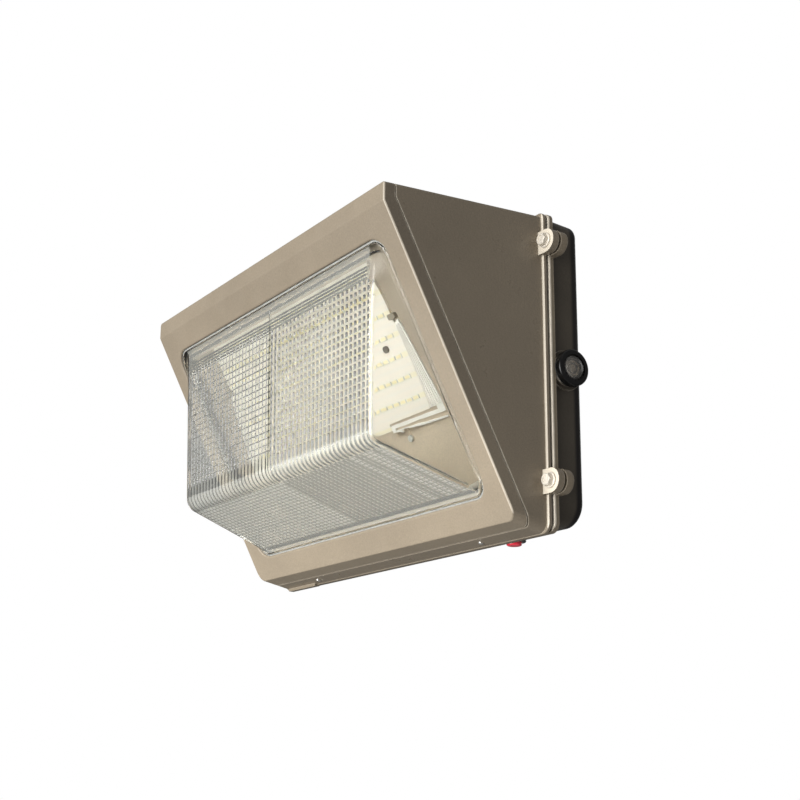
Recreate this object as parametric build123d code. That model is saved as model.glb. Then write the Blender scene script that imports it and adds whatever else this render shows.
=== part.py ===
from build123d import *
import os
import math

# Outdoor LED wall light with a wedge-shaped hinged door, a prismatic glass
# refractor and a shallow back box. Millimetres, +Z up, +X to the right of a
# person facing the light, +Y into the wall. The origin is the centre of the
# back face, on the wall.

# ---------------------------------------------------------------- dimensions
W = 360.0                 # width of the door
HX = W / 2
Y_BACK_FRONT = -30.4      # front face of the back box rim
Y_DOOR_REAR = -32.6       # rear face of the door
Z_TOP_SEAM = 114.6        # door, top at the seam
Z_BOT_SEAM = -115.0       # door, bottom at the seam
Y_FASCIA = -168.0         # front of the short upright fascia
Z_TOP_FRONT = 107.6       # top of the fascia
Z_FASCIA = 93.8           # foot of the fascia, head of the slanted face
Y_TOE = -61.0             # foot of the slanted face
Z_TOE = -108.9
FRAME_T = 9.7             # depth of the front frame, square to the slanted face
FASCIA_T = 8.7
WALL = 3.2                # casting wall
FACE_T = 3.6              # front frame face thickness
R_TOP = 2.5               # corner radius, side to top
R_BOT = 8.0               # corner radius, side to underside

OPEN_W, OPEN_H, OPEN_R = 322.5, 190.5, 14.0     # opening in the front frame
OPEN_S = 114.5            # its centre, measured down the slanted face
GLASS_W, GLASS_H, GLASS_R = 320.0, 188.0, 12.8
FLANGE_W, FLANGE_H, FLANGE_R = 330.0, 198.0, 15.0
GLASS_T = 4.0
GLASS_HALVES = (146.3, 142.0, 153.0, 157.0)     # half widths of the glass wedge: head, lower edge, foot, base
GLASS_TOP_S, GLASS_FOOT_S = 26.35, 204.0        # its head and foot, measured down the slanted face
GLASS_EDGE_Z = -59.8      # its lower front edge
FRONT_DY = 3.4            # its front face leans back this much towards that edge

BEAD1 = 2.4               # door rim, how far it stands out
BEAD2 = 2.6               # back box rim
BEAD1_T = 2.4
BEAD2_T = 4.2

BB_X, BB_ZT, BB_ZB = 179.4, 116.2, -109.0       # back box walls at the rim
BB_XR, BB_ZTR, BB_ZBR = 178.8, 116.0, -106.0    # and at the wall
BB_RT = (8.0, 11.5)       # its upper corner radius at the rim and at the wall
BB_RB = (15.0, 17.0)      # its lower corner radius
CAV_X, CAV_R = 173.8, 11.0                      # inside of the back box
CAV_Z = (-102.0, 108.0, 111.8)                  # its floor, its head at the rim, its head behind the rim
BACK_T = 3.6

LUG_X, LUG_R = 188.5, 8.5
LUG_Z = (92.0, -80.5)
DOOR_LUG_Y = -38.0        # front face of the door lugs
BACK_LUG_Y = -24.6
BOLT_R = 2.5
BOLT_TRAVEL = 8.0
BORE_DOOR_LUG = 2.58
BORE_BACK_LUG = 2.80

HINGE_X, HINGE_Y = -188.5, -31.5
KNUCKLE_R = 5.0
PIN_R = 2.5
HINGE_LOW = ((66.0, 80.0), (-94.0, -80.0))      # back box knuckles
HINGE_UP = ((80.4, 94.4), (-79.6, -65.6))       # door knuckles

LED_O = -14.0             # front of the LED board, behind the slanted face
BOARD_T = 1.6
PLATE_T = 2.5
LED_ROWS = [36.5 + 15.5 * i for i in range(7)]
LED_COLS = 28
LED_PITCH = 8.2

PC_Y, PC_Z = -15.0, 2.3   # photocell
BTN_X, BTN_Y = 122.0, -17.5
PLUG_Y = -13.2            # side conduit plug
PLUG_BY = -13.2           # bottom conduit plug
WALL_HOLE_X, WALL_HOLE_Z, WALL_HOLE_R = 150.0, 82.5, 3.5
WIRE_R = 11.1

# ------------------------------------------------------------------- helpers
_ds = (Y_TOE - Y_FASCIA, Z_TOE - Z_FASCIA)
SLANT_L = math.hypot(*_ds)
DY, DZ = _ds[0] / SLANT_L, _ds[1] / SLANT_L     # unit vector down the slant
NY, NZ = DZ, -DY                                 # outward normal (y, z)
SL = Plane(origin=(0, Y_FASCIA, Z_FASCIA), x_dir=(1, 0, 0), z_dir=(0, NY, NZ))


def sp(s, o=0.0):
    """(y, z) of the point s down the slanted face and o in front of it."""
    return (Y_FASCIA + DY * s + NY * o, Z_FASCIA + DZ * s + NZ * o)


def prism(pts, x0, x1):
    """Solid with a (y, z) outline between two x planes."""
    face = make_face(Polyline(*[(p[0], p[1]) for p in pts], close=True))
    return extrude(Plane.YZ.offset(x0) * face, amount=x1 - x0)


def sslab(x0, x1, s0, s1, o0, o1, r=0.0):
    """Plate parallel to the slanted face."""
    pl = SL * Pos((x0 + x1) / 2, -(s0 + s1) / 2, o0)
    sk = RectangleRounded(x1 - x0, s1 - s0, r) if r > 0 else Rectangle(x1 - x0, s1 - s0)
    return extrude(pl * sk, amount=o1 - o0)


def spoly(pts, o0, o1):
    """Plate parallel to the slanted face with an outline of (x, s) points."""
    face = make_face(Polyline(*[(q[0], -q[1]) for q in pts], close=True))
    return extrude(SL * Pos(0, 0, o0) * face, amount=o1 - o0)


def scyl(x, s, o0, o1, r):
    return extrude(SL * Pos(x, -s, o0) * Circle(r), amount=o1 - o0)


def front_plane(y):
    """Sketch plane facing the room, local x = X, local y = Z."""
    return Plane(origin=(0, y, 0), x_dir=(1, 0, 0), z_dir=(0, -1, 0))


def outline(side, top, bot):
    """Seam outline grown by side, top and bottom amounts."""
    x = HX + side
    zt, zb = Z_TOP_SEAM + top, Z_BOT_SEAM - bot
    sk = Pos(0, (zt + zb) / 2) * Rectangle(2 * x, zt - zb)
    vs = sk.vertices()
    up = [v for v in vs if v.Y > 0]
    dn = [v for v in vs if v.Y < 0]
    sk = fillet(up, max(R_TOP + top, 1.5))
    vs = sk.vertices()
    dn = [v for v in vs if v.Y < zb + 0.01]
    return fillet(dn, max(R_BOT + bot, 4.0))


def ycyl(x, z, y0, y1, r):
    """Cylinder along Y from y0 back to y1 (y0 is the one nearer the room)."""
    return extrude(front_plane(y1) * Pos(x, z) * Circle(r), amount=y1 - y0)


def zcyl(x, y, z0, z1, r):
    return extrude(Plane.XY.offset(z0) * Pos(x, y) * Circle(r), amount=z1 - z0)


def xcyl(y, z, x0, x1, r):
    return extrude(Plane.YZ.offset(x0) * Pos(y, z) * Circle(r), amount=x1 - x0)


def box(x0, x1, y0, y1, z0, z1, r=0.0):
    b = Pos((x0 + x1) / 2, (y0 + y1) / 2, (z0 + z1) / 2) * Box(x1 - x0, y1 - y0, z1 - z0)
    return b


def near(v, target, tol=0.02):
    return abs(v - target) < tol


def lug(x0, zc, y0, y1):
    sk = Pos((x0 + LUG_X) / 2, zc) * Rectangle(LUG_X - x0, 2 * LUG_R)
    sk = sk + Pos(LUG_X, zc) * Circle(LUG_R)
    return extrude(front_plane(y1) * sk, amount=y1 - y0)


parts = {}


def put(name, p):
    sol = []
    for q in (p if isinstance(p, (list, tuple)) else [p]):
        sol += list(q.solids())
    parts[name] = sol[0] if len(sol) == 1 else Compound(children=[Solid(s.wrapped) for s in sol])


# ------------------------------------------------------- outer form of the door
door_pts = [(Y_DOOR_REAR, Z_TOP_SEAM), (Y_FASCIA, Z_TOP_FRONT), (Y_FASCIA, Z_FASCIA),
            (Y_TOE, Z_TOE), (Y_DOOR_REAR, Z_BOT_SEAM)]
outer = prism(door_pts, -HX, HX)


def under_z(y):
    return Z_TOE + (Z_BOT_SEAM - Z_TOE) * (y - Y_TOE) / (Y_DOOR_REAR - Y_TOE)


def top_z(y):
    return Z_TOP_FRONT + (Z_TOP_SEAM - Z_TOP_FRONT) * (y - Y_FASCIA) / (Y_DOOR_REAR - Y_FASCIA)


e_bot = [e for e in outer.edges()
         if abs(abs(e.center().X) - HX) < 0.01 and e.center().Z < -110 and e.center().Y > Y_TOE + 5]
outer = fillet(e_bot, R_BOT)
e_top = [e for e in outer.edges()
         if abs(abs(e.center().X) - HX) < 0.01 and e.center().Z > 108 and e.center().Y > Y_FASCIA + 20]
outer = fillet(e_top, R_TOP)

# front edges: the rim of the slanted face, the fascia and their lower edge
def on_slant(p):
    return abs((p.Y - Y_FASCIA) * NY + (p.Z - Z_FASCIA) * NZ) < 0.02


def front_edge(e):
    c = e.center()
    a, b = e.position_at(0), e.position_at(1)
    on_s = on_slant(a) and on_slant(b)
    on_f = near(a.Y, Y_FASCIA) and near(b.Y, Y_FASCIA)
    bend = on_s and on_f
    return (on_s or on_f) and not bend


outer = fillet([e for e in outer.edges() if front_edge(e)], 1.3)
bend_edge = [e for e in outer.edges()
             if near(e.center().Y, Y_FASCIA, 0.1) and near(e.center().Z, Z_FASCIA, 0.1) and e.length > 300]
if bend_edge:
    try:
        outer = fillet(bend_edge, 2.5)
    except Exception as ex:
        print("bend edge left sharp", ex)

# the parting surface between the frame and the housing
y_step = Y_FASCIA + FASCIA_T
s_at = (y_step - sp(0, -FRAME_T)[0]) / DY
z_step = sp(s_at, -FRAME_T)[1]
far = sp(300, -FRAME_T)
front_region = prism([(y_step, 140), (y_step, z_step), far, (far[0] - 60, far[1] - 40), (-260, -60), (-260, 140)], -220, 220)

frame_outer = outer & front_region
housing_outer = outer - front_region

# shallow groove along the parting line: the housing's first millimetre is set in
g = 1.0
inset_pts = [(Y_DOOR_REAR + 5, Z_TOP_SEAM + 0.26 - 0.9), (Y_FASCIA - 5, Z_TOP_FRONT - 0.26 - 0.9), (Y_FASCIA - 5, Z_FASCIA - 20),
             (Y_TOE - 10, under_z(Y_TOE - 10) + 0.9), (Y_DOOR_REAR + 5, under_z(Y_DOOR_REAR + 5) + 0.9)]
inset = prism(inset_pts, -HX + 0.9, HX - 0.9)
e_in = [e for e in inset.edges()
        if abs(abs(e.center().X) - (HX - 0.9)) < 0.01 and e.center().Z < -108 and e.center().Y > Y_TOE - 6]
inset = fillet(e_in, R_BOT - 0.9)
ys2 = y_step + g
so2 = (ys2 - sp(0, -FRAME_T - g)[0]) / DY
zs2 = sp(so2, -FRAME_T - g)[1]
far2 = sp(300, -FRAME_T - g)
band = prism([(y_step - 0.01, 140), (y_step - 0.01, z_step), far, far2, (ys2, zs2), (ys2, 140)], -220, 220)
housing_outer = housing_outer - (band - inset)

# -------------------------------------------------------------- front housing
inner_pts = [(Y_DOOR_REAR + 5, Z_TOP_SEAM - WALL), (Y_FASCIA - 20, Z_TOP_FRONT - WALL - 1.0), (Y_FASCIA - 20, -60),
             (Y_TOE - 40, under_z(Y_TOE - 40) + WALL), (Y_DOOR_REAR + 5, under_z(Y_DOOR_REAR + 5) + WALL)]
cavity = prism(inner_pts, -HX + WALL, HX - WALL)
e_ci = [e for e in cavity.edges()
        if abs(abs(e.center().X) - (HX - WALL)) < 0.01 and e.center().Z < -104 and e.center().Y > Y_TOE - 20]
cavity = fillet(e_ci, R_BOT - WALL)
housing = housing_outer - cavity

# rim at the seam: a proud bead at the sides and top, and a flat land inside
rim1 = extrude(front_plane(Y_DOOR_REAR) * outline(BEAD1, BEAD1, 0.0), amount=BEAD1_T)
rim1 = fillet([e for e in rim1.edges() if near(e.center().Y, Y_DOOR_REAR - BEAD1_T, 0.01)], 0.9)
rim1 = rim1 - extrude(front_plane(Y_DOOR_REAR + 1) * outline(-11.5, -11.5, -11.5), amount=BEAD1_T + 2)
housing = housing + rim1

# bolt lugs on the right
for zc in LUG_Z:
    l1 = lug(178.0, zc, DOOR_LUG_Y, Y_DOOR_REAR)
    housing = housing + l1
for zc in LUG_Z:
    housing = housing - ycyl(LUG_X, zc, DOOR_LUG_Y - 1, Y_DOOR_REAR + 1, BORE_DOOR_LUG)

# hinge knuckles on the left
for z0, z1 in HINGE_UP:
    k = zcyl(HINGE_X, HINGE_Y, z0, z1, KNUCKLE_R) + box(HINGE_X, -178.0, -39.5, Y_DOOR_REAR, z0, z1)
    housing = housing + k
for z0, z1 in HINGE_UP:
    housing = housing - zcyl(HINGE_X, HINGE_Y, z0 - 1, z1 - 2.0, PIN_R + 0.06)

# finger lip under the left end of the rim
lip = box(-171.0, -126.0, -37.6, Y_DOOR_REAR, Z_BOT_SEAM - 1.3, Z_BOT_SEAM + 1.4)
lip = fillet([e for e in lip.edges() if near(e.center().Z, Z_BOT_SEAM - 1.3, 0.01)], 0.6)
housing = housing + lip

# ledges that carry the LED plate
PLATE_BACK = LED_O - BOARD_T - PLATE_T
for sx in (-1, 1):
    for s in (42.0, 188.0):
        a, b = sorted((sx * 162.5, sx * 178.0))
        led = sslab(a, b, s - 6, s + 6, PLATE_BACK - 12, PLATE_BACK)
        housing = housing + led
        housing = housing - scyl(sx * 167.0, s, PLATE_BACK - 9, PLATE_BACK + 1, 1.55)

# holes for the two underside screws
_ul = math.hypot(Y_DOOR_REAR - Y_TOE, Z_BOT_SEAM - Z_TOE)
UY, UZ = (Y_DOOR_REAR - Y_TOE) / _ul, (Z_BOT_SEAM - Z_TOE) / _ul   # along the underside, rearwards
OUTY, OUTZ = UZ, -UY                                              # outward normal
Y_SCR = -41.0
SCREW_X = 114.0


def uplane(x, depth):
    """Plane on the underside at a screw, its normal pointing into the housing; depth from the outer face."""
    return Plane(origin=(x, Y_SCR - OUTY * depth, under_z(Y_SCR) - OUTZ * depth),
                 x_dir=(1, 0, 0), z_dir=(0, -OUTY, -OUTZ))


for sx in (-1, 1):
    housing = housing - extrude(uplane(sx * SCREW_X, -3) * Circle(1.65), amount=9)

put("front_housing", housing)

# ---------------------------------------------------------------- front frame
frame = frame_outer - sslab(-OPEN_W / 2, OPEN_W / 2, OPEN_S - OPEN_H / 2, OPEN_S + OPEN_H / 2, -20, 20, OPEN_R)
pocket = sslab(-HX + 4.5, HX - 4.5, 5.0, SLANT_L - 6.0, -FRAME_T - 2, -FACE_T, 4.0)
frame = frame - pocket
ope = [e for e in frame.edges() if abs((e.center().Y - Y_FASCIA) * NY + (e.center().Z - Z_FASCIA) * NZ) < 0.05
       and abs(e.center().X) < OPEN_W / 2 + 0.1
       and abs(-((e.center().Y - Y_FASCIA) * DY + (e.center().Z - Z_FASCIA) * DZ) + OPEN_S) < OPEN_H / 2 + 0.1]
try:
    frame = fillet(ope, 1.6)
except Exception as ex:
    print("opening edge left sharp", ex)

# bosses for the glass clips
CLIPS = [(sx * 170.6, s, "x") for sx in (-1, 1) for s in (62.0, 170.0)]
CLIPS += [(sx * 75.0, s, "s") for sx in (-1, 1) for s in (10.6, 218.4)]
for x, s, k in CLIPS:
    frame = frame + scyl(x, s, -9.1, -FACE_T + 0.5, 3.2)
    frame = frame - scyl(x, s, -9.6, -FACE_T - 1.0, 1.25)

# tabs behind the lower edge that take the two underside screws
for sx in (-1, 1):
    tab = prism([(-57.5, under_z(-57.5) + 2.0), (-53.0, under_z(-53.0) + WALL + 0.25), (-37.2, under_z(-37.2) + WALL + 0.25),
                 (-37.2, under_z(-37.2) + WALL + 6.0), (-57.5, under_z(-57.5) + 8.5)], sx * SCREW_X - 7, sx * SCREW_X + 7)
    frame = frame + tab
    frame = frame - extrude(uplane(sx * SCREW_X, WALL - 0.5) * Circle(1.55), amount=9)
# tongues that locate the frame under the housing's top
for sx in (-1, 1):
    frame = frame + box(sx * 100 - 12, sx * 100 + 12, y_step - 3.0, y_step + 9.0, 99.5, top_z(y_step) - WALL - 1.4)

put("front_frame", frame)

# two underside screws
scr = []
for sx in (-1, 1):
    head = extrude(uplane(sx * SCREW_X, -0.8) * Circle(2.05), amount=0.8)
    head = fillet([e for e in head.edges() if e.center().Z < under_z(Y_SCR) - 0.5], 0.4)
    cross = extrude(uplane(sx * SCREW_X, -0.9) * Rectangle(2.2, 0.45), amount=0.6) + \
        extrude(uplane(sx * SCREW_X, -0.9) * Rectangle(0.45, 2.2), amount=0.6)
    head = head - cross
    scr.append(head + extrude(uplane(sx * SCREW_X, -0.2) * Circle(1.5), amount=8.8))
put("frame_screws", scr)

# -------------------------------------------------------------- glass refractor
A = sp(GLASS_TOP_S)
C_ = sp(GLASS_FOOT_S)
B_ = (A[0] + FRONT_DY, GLASS_EDGE_Z)


def wedge(off, halves, back, r_edge):
    """Glass wedge moved in by off. halves are the half widths at the head of the
    front face, at its foot, at the foot of the lower face and at the base; back is
    how far the base lies behind the slanted face."""
    ang_b = math.atan2(C_[1] - B_[1], C_[0] - B_[0])
    ny_b, nz_b = -math.sin(ang_b), math.cos(ang_b)       # into the glass (upwards)
    p_c = (C_[0] + ny_b * off, C_[1] + nz_b * off)
    p_b0 = (B_[0] + ny_b * off, B_[1] + nz_b * off)
    # foot of the front face moved in by off
    t = (B_[0] + off - p_b0[0]) / (p_c[0] - p_b0[0])
    p_b = (B_[0] + off, p_b0[1] + t * (p_c[1] - p_b0[1]))
    p_a = (A[0] + off, A[1])
    a_back = (p_a[0] - NY * back, p_a[1] - NZ * back)
    c_back = (p_c[0] - NY * back, p_c[1] - NZ * back)
    ha, hb, hc, hd = halves
    v = {}
    for k, sx in (("l", -1), ("r", 1)):
        for n_, q, h in (("a", p_a, ha), ("b", p_b, hb), ("c", p_c, hc), ("e", c_back, hd), ("d", a_back, hd)):
            v[n_ + k] = (sx * h, q[0], q[1])
    loops = [("al", "ar", "br", "bl"), ("bl", "br", "cr", "cl"), ("cl", "cr", "er", "el"),
             ("el", "er", "dr", "dl"), ("dl", "dr", "ar", "al")]
    for k in "lr":
        loops += [("a" + k, "b" + k, "d" + k), ("b" + k, "e" + k, "d" + k), ("b" + k, "c" + k, "e" + k)]
    w = Solid(Shell([Face(Wire.make_polygon([v[i] for i in lp])) for lp in loops]))
    eb = [e for e in w.edges() if near(e.center().Y, p_b[0], 0.3) and near(e.center().Z, p_b[1], 0.3) and e.length > 100]
    try:
        w = fillet(eb, r_edge)
    except Exception as ex:
        print("glass lower edge left sharp", ex)
    return w


plug = sslab(-GLASS_W / 2, GLASS_W / 2, OPEN_S - GLASS_H / 2, OPEN_S + GLASS_H / 2, -5.1, -0.6, GLASS_R)
plug = fillet([e for e in plug.edges() if abs((e.center().Y - Y_FASCIA) * NY + (e.center().Z - Z_FASCIA) * NZ + 0.6) < 0.02], 1.2)
flange = sslab(-FLANGE_W / 2, FLANGE_W / 2, OPEN_S - FLANGE_H / 2, OPEN_S + FLANGE_H / 2, -9.1, -5.1, FLANGE_R)
glass = plug + flange + wedge(0.0, GLASS_HALVES, 2.4, 11.0)
hollow = wedge(GLASS_T, [h - GLASS_T - 0.6 for h in GLASS_HALVES], 20.0, 7.0)
glass = glass - hollow
put("glass_refractor", glass)

# gasket: a flat ring behind the frame face with a lip in the gap
gk = sslab(-FLANGE_W / 2, FLANGE_W / 2, OPEN_S - FLANGE_H / 2, OPEN_S + FLANGE_H / 2, -5.1, -FACE_T, FLANGE_R)
gk = gk + sslab(-OPEN_W / 2 + 0.02, OPEN_W / 2 - 0.02, OPEN_S - OPEN_H / 2 + 0.02, OPEN_S + OPEN_H / 2 - 0.02, -FACE_T, -1.7, OPEN_R)
gk = gk - sslab(-GLASS_W / 2 - 0.02, GLASS_W / 2 + 0.02, OPEN_S - GLASS_H / 2 - 0.02, OPEN_S + GLASS_H / 2 + 0.02, -8, 3, GLASS_R)
put("glass_gasket", gk)

# clips and screws that hold the glass from behind
clips, clip_scr = [], []
for x, s, k in CLIPS:
    if k == "x":
        sg = 1 if x > 0 else -1
        a, b = sorted((x + sg * 3.2, x - sg * 11.5))
        c = sslab(a, b, s - 6, s + 6, -10.4, -9.1, 1.5)
    else:
        sg = 1 if s > OPEN_S else -1
        a, b = sorted((s + sg * 3.2, s - sg * 11.5))
        c = sslab(x - 6, x + 6, a, b, -10.4, -9.1, 1.5)
    clips.append(c - scyl(x, s, -11, -8, 1.45))
    clip_scr.append(scyl(x, s, -12.4, -10.4, 2.6) + scyl(x, s, -10.5, -5.2, 1.2))
put("glass_clips", clips)
put("glass_clip_screws", clip_scr)

# ------------------------------------------------------------------ LED module
o_bf = LED_O                    # board front
o_pf = LED_O - BOARD_T          # plate front
plate = sslab(-171.0, 171.0, 14.0, 212.0, o_pf - PLATE_T, o_pf, 6.0)
for sx in (-1, 1):
    for s in (42.0, 188.0):
        plate = plate - scyl(sx * 167.0, s, -40, 0, 1.7)
BOARD_SCREWS = [(sx * 100.7, 90.4) for sx in (-1, 1)] + [(sx * 33.0, s) for sx in (-1, 1) for s in (59.8, 121.8)]
for x, s in BOARD_SCREWS:
    plate = plate - scyl(x, s, -40, 0, 1.3)
CLAMP_AT = [(sx * 123.5, 70.8) for sx in (-1, 1)]
for x, s in CLAMP_AT:
    plate = plate - scyl(x, s, -40, 0, 1.3)
STRIP_SCREWS = [(sx * 85.0, 156.0) for sx in (-1, 1)]
for x, s in STRIP_SCREWS:
    plate = plate - scyl(x, s, -40, 0, 1.3)
put("led_plate", plate)
put("led_plate_screws", [scyl(sx * 167.0, s, o_pf, o_pf + 1.9, 2.7) + scyl(sx * 167.0, s, PLATE_BACK - 8, o_pf + 0.2, 1.5)
                         for sx in (-1, 1) for s in (42.0, 188.0)])

board = sslab(-121.0, 121.0, 30.0, 140.4, o_pf, o_bf, 2.0) + sslab(-68.0, 68.0, 136.0, 147.4, o_pf, o_bf, 1.0)
for x, s in BOARD_SCREWS:
    board = board - scyl(x, s, -40, 0, 1.5)
put("led_board", board)
put("led_board_screws", [scyl(x, s, o_bf, o_bf + 1.6, 2.5) + scyl(x, s, o_pf - PLATE_T, o_bf + 0.2, 1.25) for x, s in BOARD_SCREWS])

chips = []
for s in LED_ROWS:
    for i in range(LED_COLS):
        x = (i - (LED_COLS - 1) / 2) * LED_PITCH
        chips.append(sslab(x - 3.5, x + 3.5, s - 1.6, s + 1.6, o_bf, o_bf + 0.8))
put("led_chips", chips)

# white ribbed strips beside the lower half of the board, widening downwards
strips = []
for sx in (-1, 1):
    def sx_slab(xa, xb, s0, s1, o0, o1, r=0.0):
        a, b = sorted((sx * xa, sx * xb))
        return sslab(a, b, s0, s1, o0, o1, r)

    def sx_poly(pts, o0, o1):
        return spoly([(sx * q[0], q[1]) for q in pts], o0, o1)
    st = sx_poly([(121.4, 75.6), (125.6, 73.6), (138.0, 143.4), (138.0, 145.0), (121.4, 145.0)], o_pf, o_pf + 1.5)
    for k in range(5):
        xa, xb = 121.8 + 0.72 * k, 122.6 + 3.0 * k
        st = st + sx_poly([(xa, 77.0), (xa + 0.4, 77.0), (xb + 0.9, 139.6), (xb, 139.6)], o_pf + 1.0, o_pf + 2.3)
    st = st + sx_slab(68.6, 138.0, 142.8, 145.7, o_pf, o_pf + 1.6)
    st = st - sx_slab(118.0, 128.8, 140.0, 142.8, -40, 0)
    st = st + sx_slab(78.0, 138.0, 148.9, 150.2, o_pf, o_pf + 2.4)
    st = st + sx_slab(68.6, 72.4, 144.0, 151.0, o_pf, o_pf + 1.6) + sx_slab(68.6, 80.0, 148.9, 151.6, o_pf, o_pf + 1.6)
    st = st + sx_slab(84.0, 86.0, 149.5, 154.0, o_pf, o_pf + 0.6) + scyl(sx * 85.0, 156.0, o_pf, o_pf + 0.6, 2.3)
    st = st - scyl(sx * 85.0, 156.0, -40, 0, 1.5)
    strips.append(st)
put("led_side_strips", strips)
put("led_strip_screws", [scyl(x, s, o_pf + 0.6, o_pf + 2.2, 2.4) + scyl(x, s, o_pf - PLATE_T, o_pf + 0.8, 1.25) for x, s in STRIP_SCREWS])

# snap-in clips that hold the board's edges: a hook in front, a button behind the plate
clamps = []
for sx in (-1, 1):
    a, b = sorted((sx * 117.4, sx * 125.6))
    c = sslab(a, b, 68.7, 73.0, o_bf, o_bf + 1.0, 1.5)
    a, b = sorted((sx * 121.4, sx * 125.6))
    c = c + sslab(a, b, 68.7, 73.0, o_pf, o_bf + 0.2, 1.5)
    c = c + scyl(sx * 123.5, 70.8, o_pf - PLATE_T - 0.2, o_pf + 0.2, 1.25)
    c = c + scyl(sx * 123.5, 70.8, o_pf - PLATE_T - 1.4, o_pf - PLATE_T, 2.3)
    clamps.append(c)
put("board_clamps", clamps)

# --------------------------------------------------------------------- back box
def box_section(x, zt, zb, rt, rb):
    sk = Pos(0, (zt + zb) / 2) * Rectangle(2 * x, zt - zb)
    sk = fillet([v for v in sk.vertices() if v.Y > 0], rt)
    return fillet([v for v in sk.vertices() if v.Y < zb + 0.01], rb)


def back_cavity():
    z0, z1, z2 = CAV_Z
    a = extrude(front_plane(-BACK_T) * (Pos(0, (z0 + z1) / 2) * RectangleRounded(2 * CAV_X, z1 - z0, CAV_R)), amount=60)
    b = extrude(front_plane(-BACK_T) * (Pos(0, (z0 + z2) / 2) * RectangleRounded(2 * CAV_X, z2 - z0, CAV_R)), amount=18.0)
    return a + b


f_sec = front_plane(Y_BACK_FRONT + BEAD2_T - 1.0) * box_section(BB_X, BB_ZT, BB_ZB, BB_RT[0], BB_RB[0])
r_sec = front_plane(0) * box_section(BB_XR, BB_ZTR, BB_ZBR, BB_RT[1], BB_RB[1])
bb = loft([f_sec, r_sec])
try:
    bb = fillet([e for e in bb.edges() if abs(e.center().Y) < 0.05], 4.0)
except Exception as ex:
    print("rear edge left sharp", ex)
bb = bb - box(-300, 300, -60, Y_BACK_FRONT + BEAD2_T - 0.5, -300, 300)
rim2 = extrude(front_plane(Y_BACK_FRONT + BEAD2_T) * outline(BEAD2, BEAD2, -1.0), amount=BEAD2_T)
rim2 = fillet([e for e in rim2.edges() if near(e.center().Y, Y_BACK_FRONT, 0.01)], 0.9)
bb = bb + rim2
bb = bb - back_cavity()

# gasket groove in the rim
groove = extrude(front_plane(Y_BACK_FRONT + 1.6) * outline(-2.4, -2.4, -4.4), amount=3) - \
    extrude(front_plane(Y_BACK_FRONT + 1.6) * outline(-6.2, -6.2, -8.2), amount=3)
seal = extrude(front_plane(Y_BACK_FRONT + 1.6) * outline(-2.4, -2.4, -4.4), amount=1.6 + 1.9) - \
    extrude(front_plane(Y_BACK_FRONT + 1.6) * outline(-6.2, -6.2, -8.2), amount=1.6 + 1.9)
put("door_gasket", seal)

for zc in LUG_Z:
    bb = bb + lug(174.0, zc, Y_BACK_FRONT, BACK_LUG_Y)
for zc in LUG_Z:
    bb = bb - ycyl(LUG_X, zc, Y_BACK_FRONT - 1, BACK_LUG_Y + 1, BORE_BACK_LUG)

for z0, z1 in HINGE_LOW:
    bb = bb + zcyl(HINGE_X, HINGE_Y, z0, z1, KNUCKLE_R) + box(HINGE_X, -174.5, Y_BACK_FRONT, -22.0, z0, z1)
for z0, z1 in HINGE_LOW:
    bb = bb - zcyl(HINGE_X, HINGE_Y, z0 + 1.0, z1 + 1, PIN_R + 0.02)

# photocell boss (right), conduit bosses (left and below)
bb = bb + xcyl(PC_Y, PC_Z, 174.5, 180.2, 14.4)
bb = bb + xcyl(PC_Y, PC_Z, 174.5, 183.0, 11.5)
bb = bb - xcyl(PC_Y, PC_Z, 160, 190, 8.7)
PLUG_LX, PLUG_BX = -181.5, -152.0
PLUG_BZ = -107.0           # outer end of the flush plug
bb = bb + xcyl(PLUG_Y, 2.3, PLUG_LX, -174.5, 12.9)
bb = bb - xcyl(PLUG_Y, 2.3, -190, -160, 9.0)
bb = bb - zcyl(PLUG_BX, PLUG_BY, -125, -95, 9.0)
# test button pad and hole
bb = bb + zcyl(BTN_X, BTN_Y, -109.2, -103.0, 8.9)
bb = bb - zcyl(BTN_X, BTN_Y, -125, -95, 7.4)

# keep the inside clear where the bosses were run through the wall
bb = bb - back_cavity()
# the gasket groove runs past the lugs, knuckles and bosses
bb = bb - groove
# nothing behind the wall plane
bb = bb - box(-300, 300, 0.0, 40, -300, 300)

# wall screw holes, wire entry, blind holes for the driver, strap, block and earth screws
for x in (-WALL_HOLE_X, WALL_HOLE_X):
    for z in (-WALL_HOLE_Z, WALL_HOLE_Z):
        bb = bb - ycyl(x, z, -10, 5, WALL_HOLE_R)
bb = bb - ycyl(0, 0, -10, 5, WIRE_R)
DRV = (-118.0, 46.0, 22.0, 80.0)                 # driver x0, x1, z0, z1
DRV_SCR = [(DRV[0] - 7.0, 51.0), (DRV[1] + 7.0, 51.0)]
BAT = (-110.0, 48.0, -72.0, -34.0)
STRAP_SCR = [(-70.0, -80.0), (-70.0, -26.0), (8.0, -80.0), (8.0, -26.0)]
BLK = (74.0, 122.0, 34.0, 58.0)
BLK_SCR = [(80.0, 46.0), (116.0, 46.0)]
EARTH = (98.0, -6.0)
for x, z in DRV_SCR + STRAP_SCR + BLK_SCR + [EARTH]:
    bb = bb - ycyl(x, z, -BACK_T - 1, -0.8, 1.75)
put("back_housing", bb)

# hinge pins
put("hinge_pins", [zcyl(HINGE_X, HINGE_Y, lo[0] + 1.0, up[1] - 2.6, PIN_R) for lo, up in zip(HINGE_LOW, HINGE_UP)])

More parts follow.
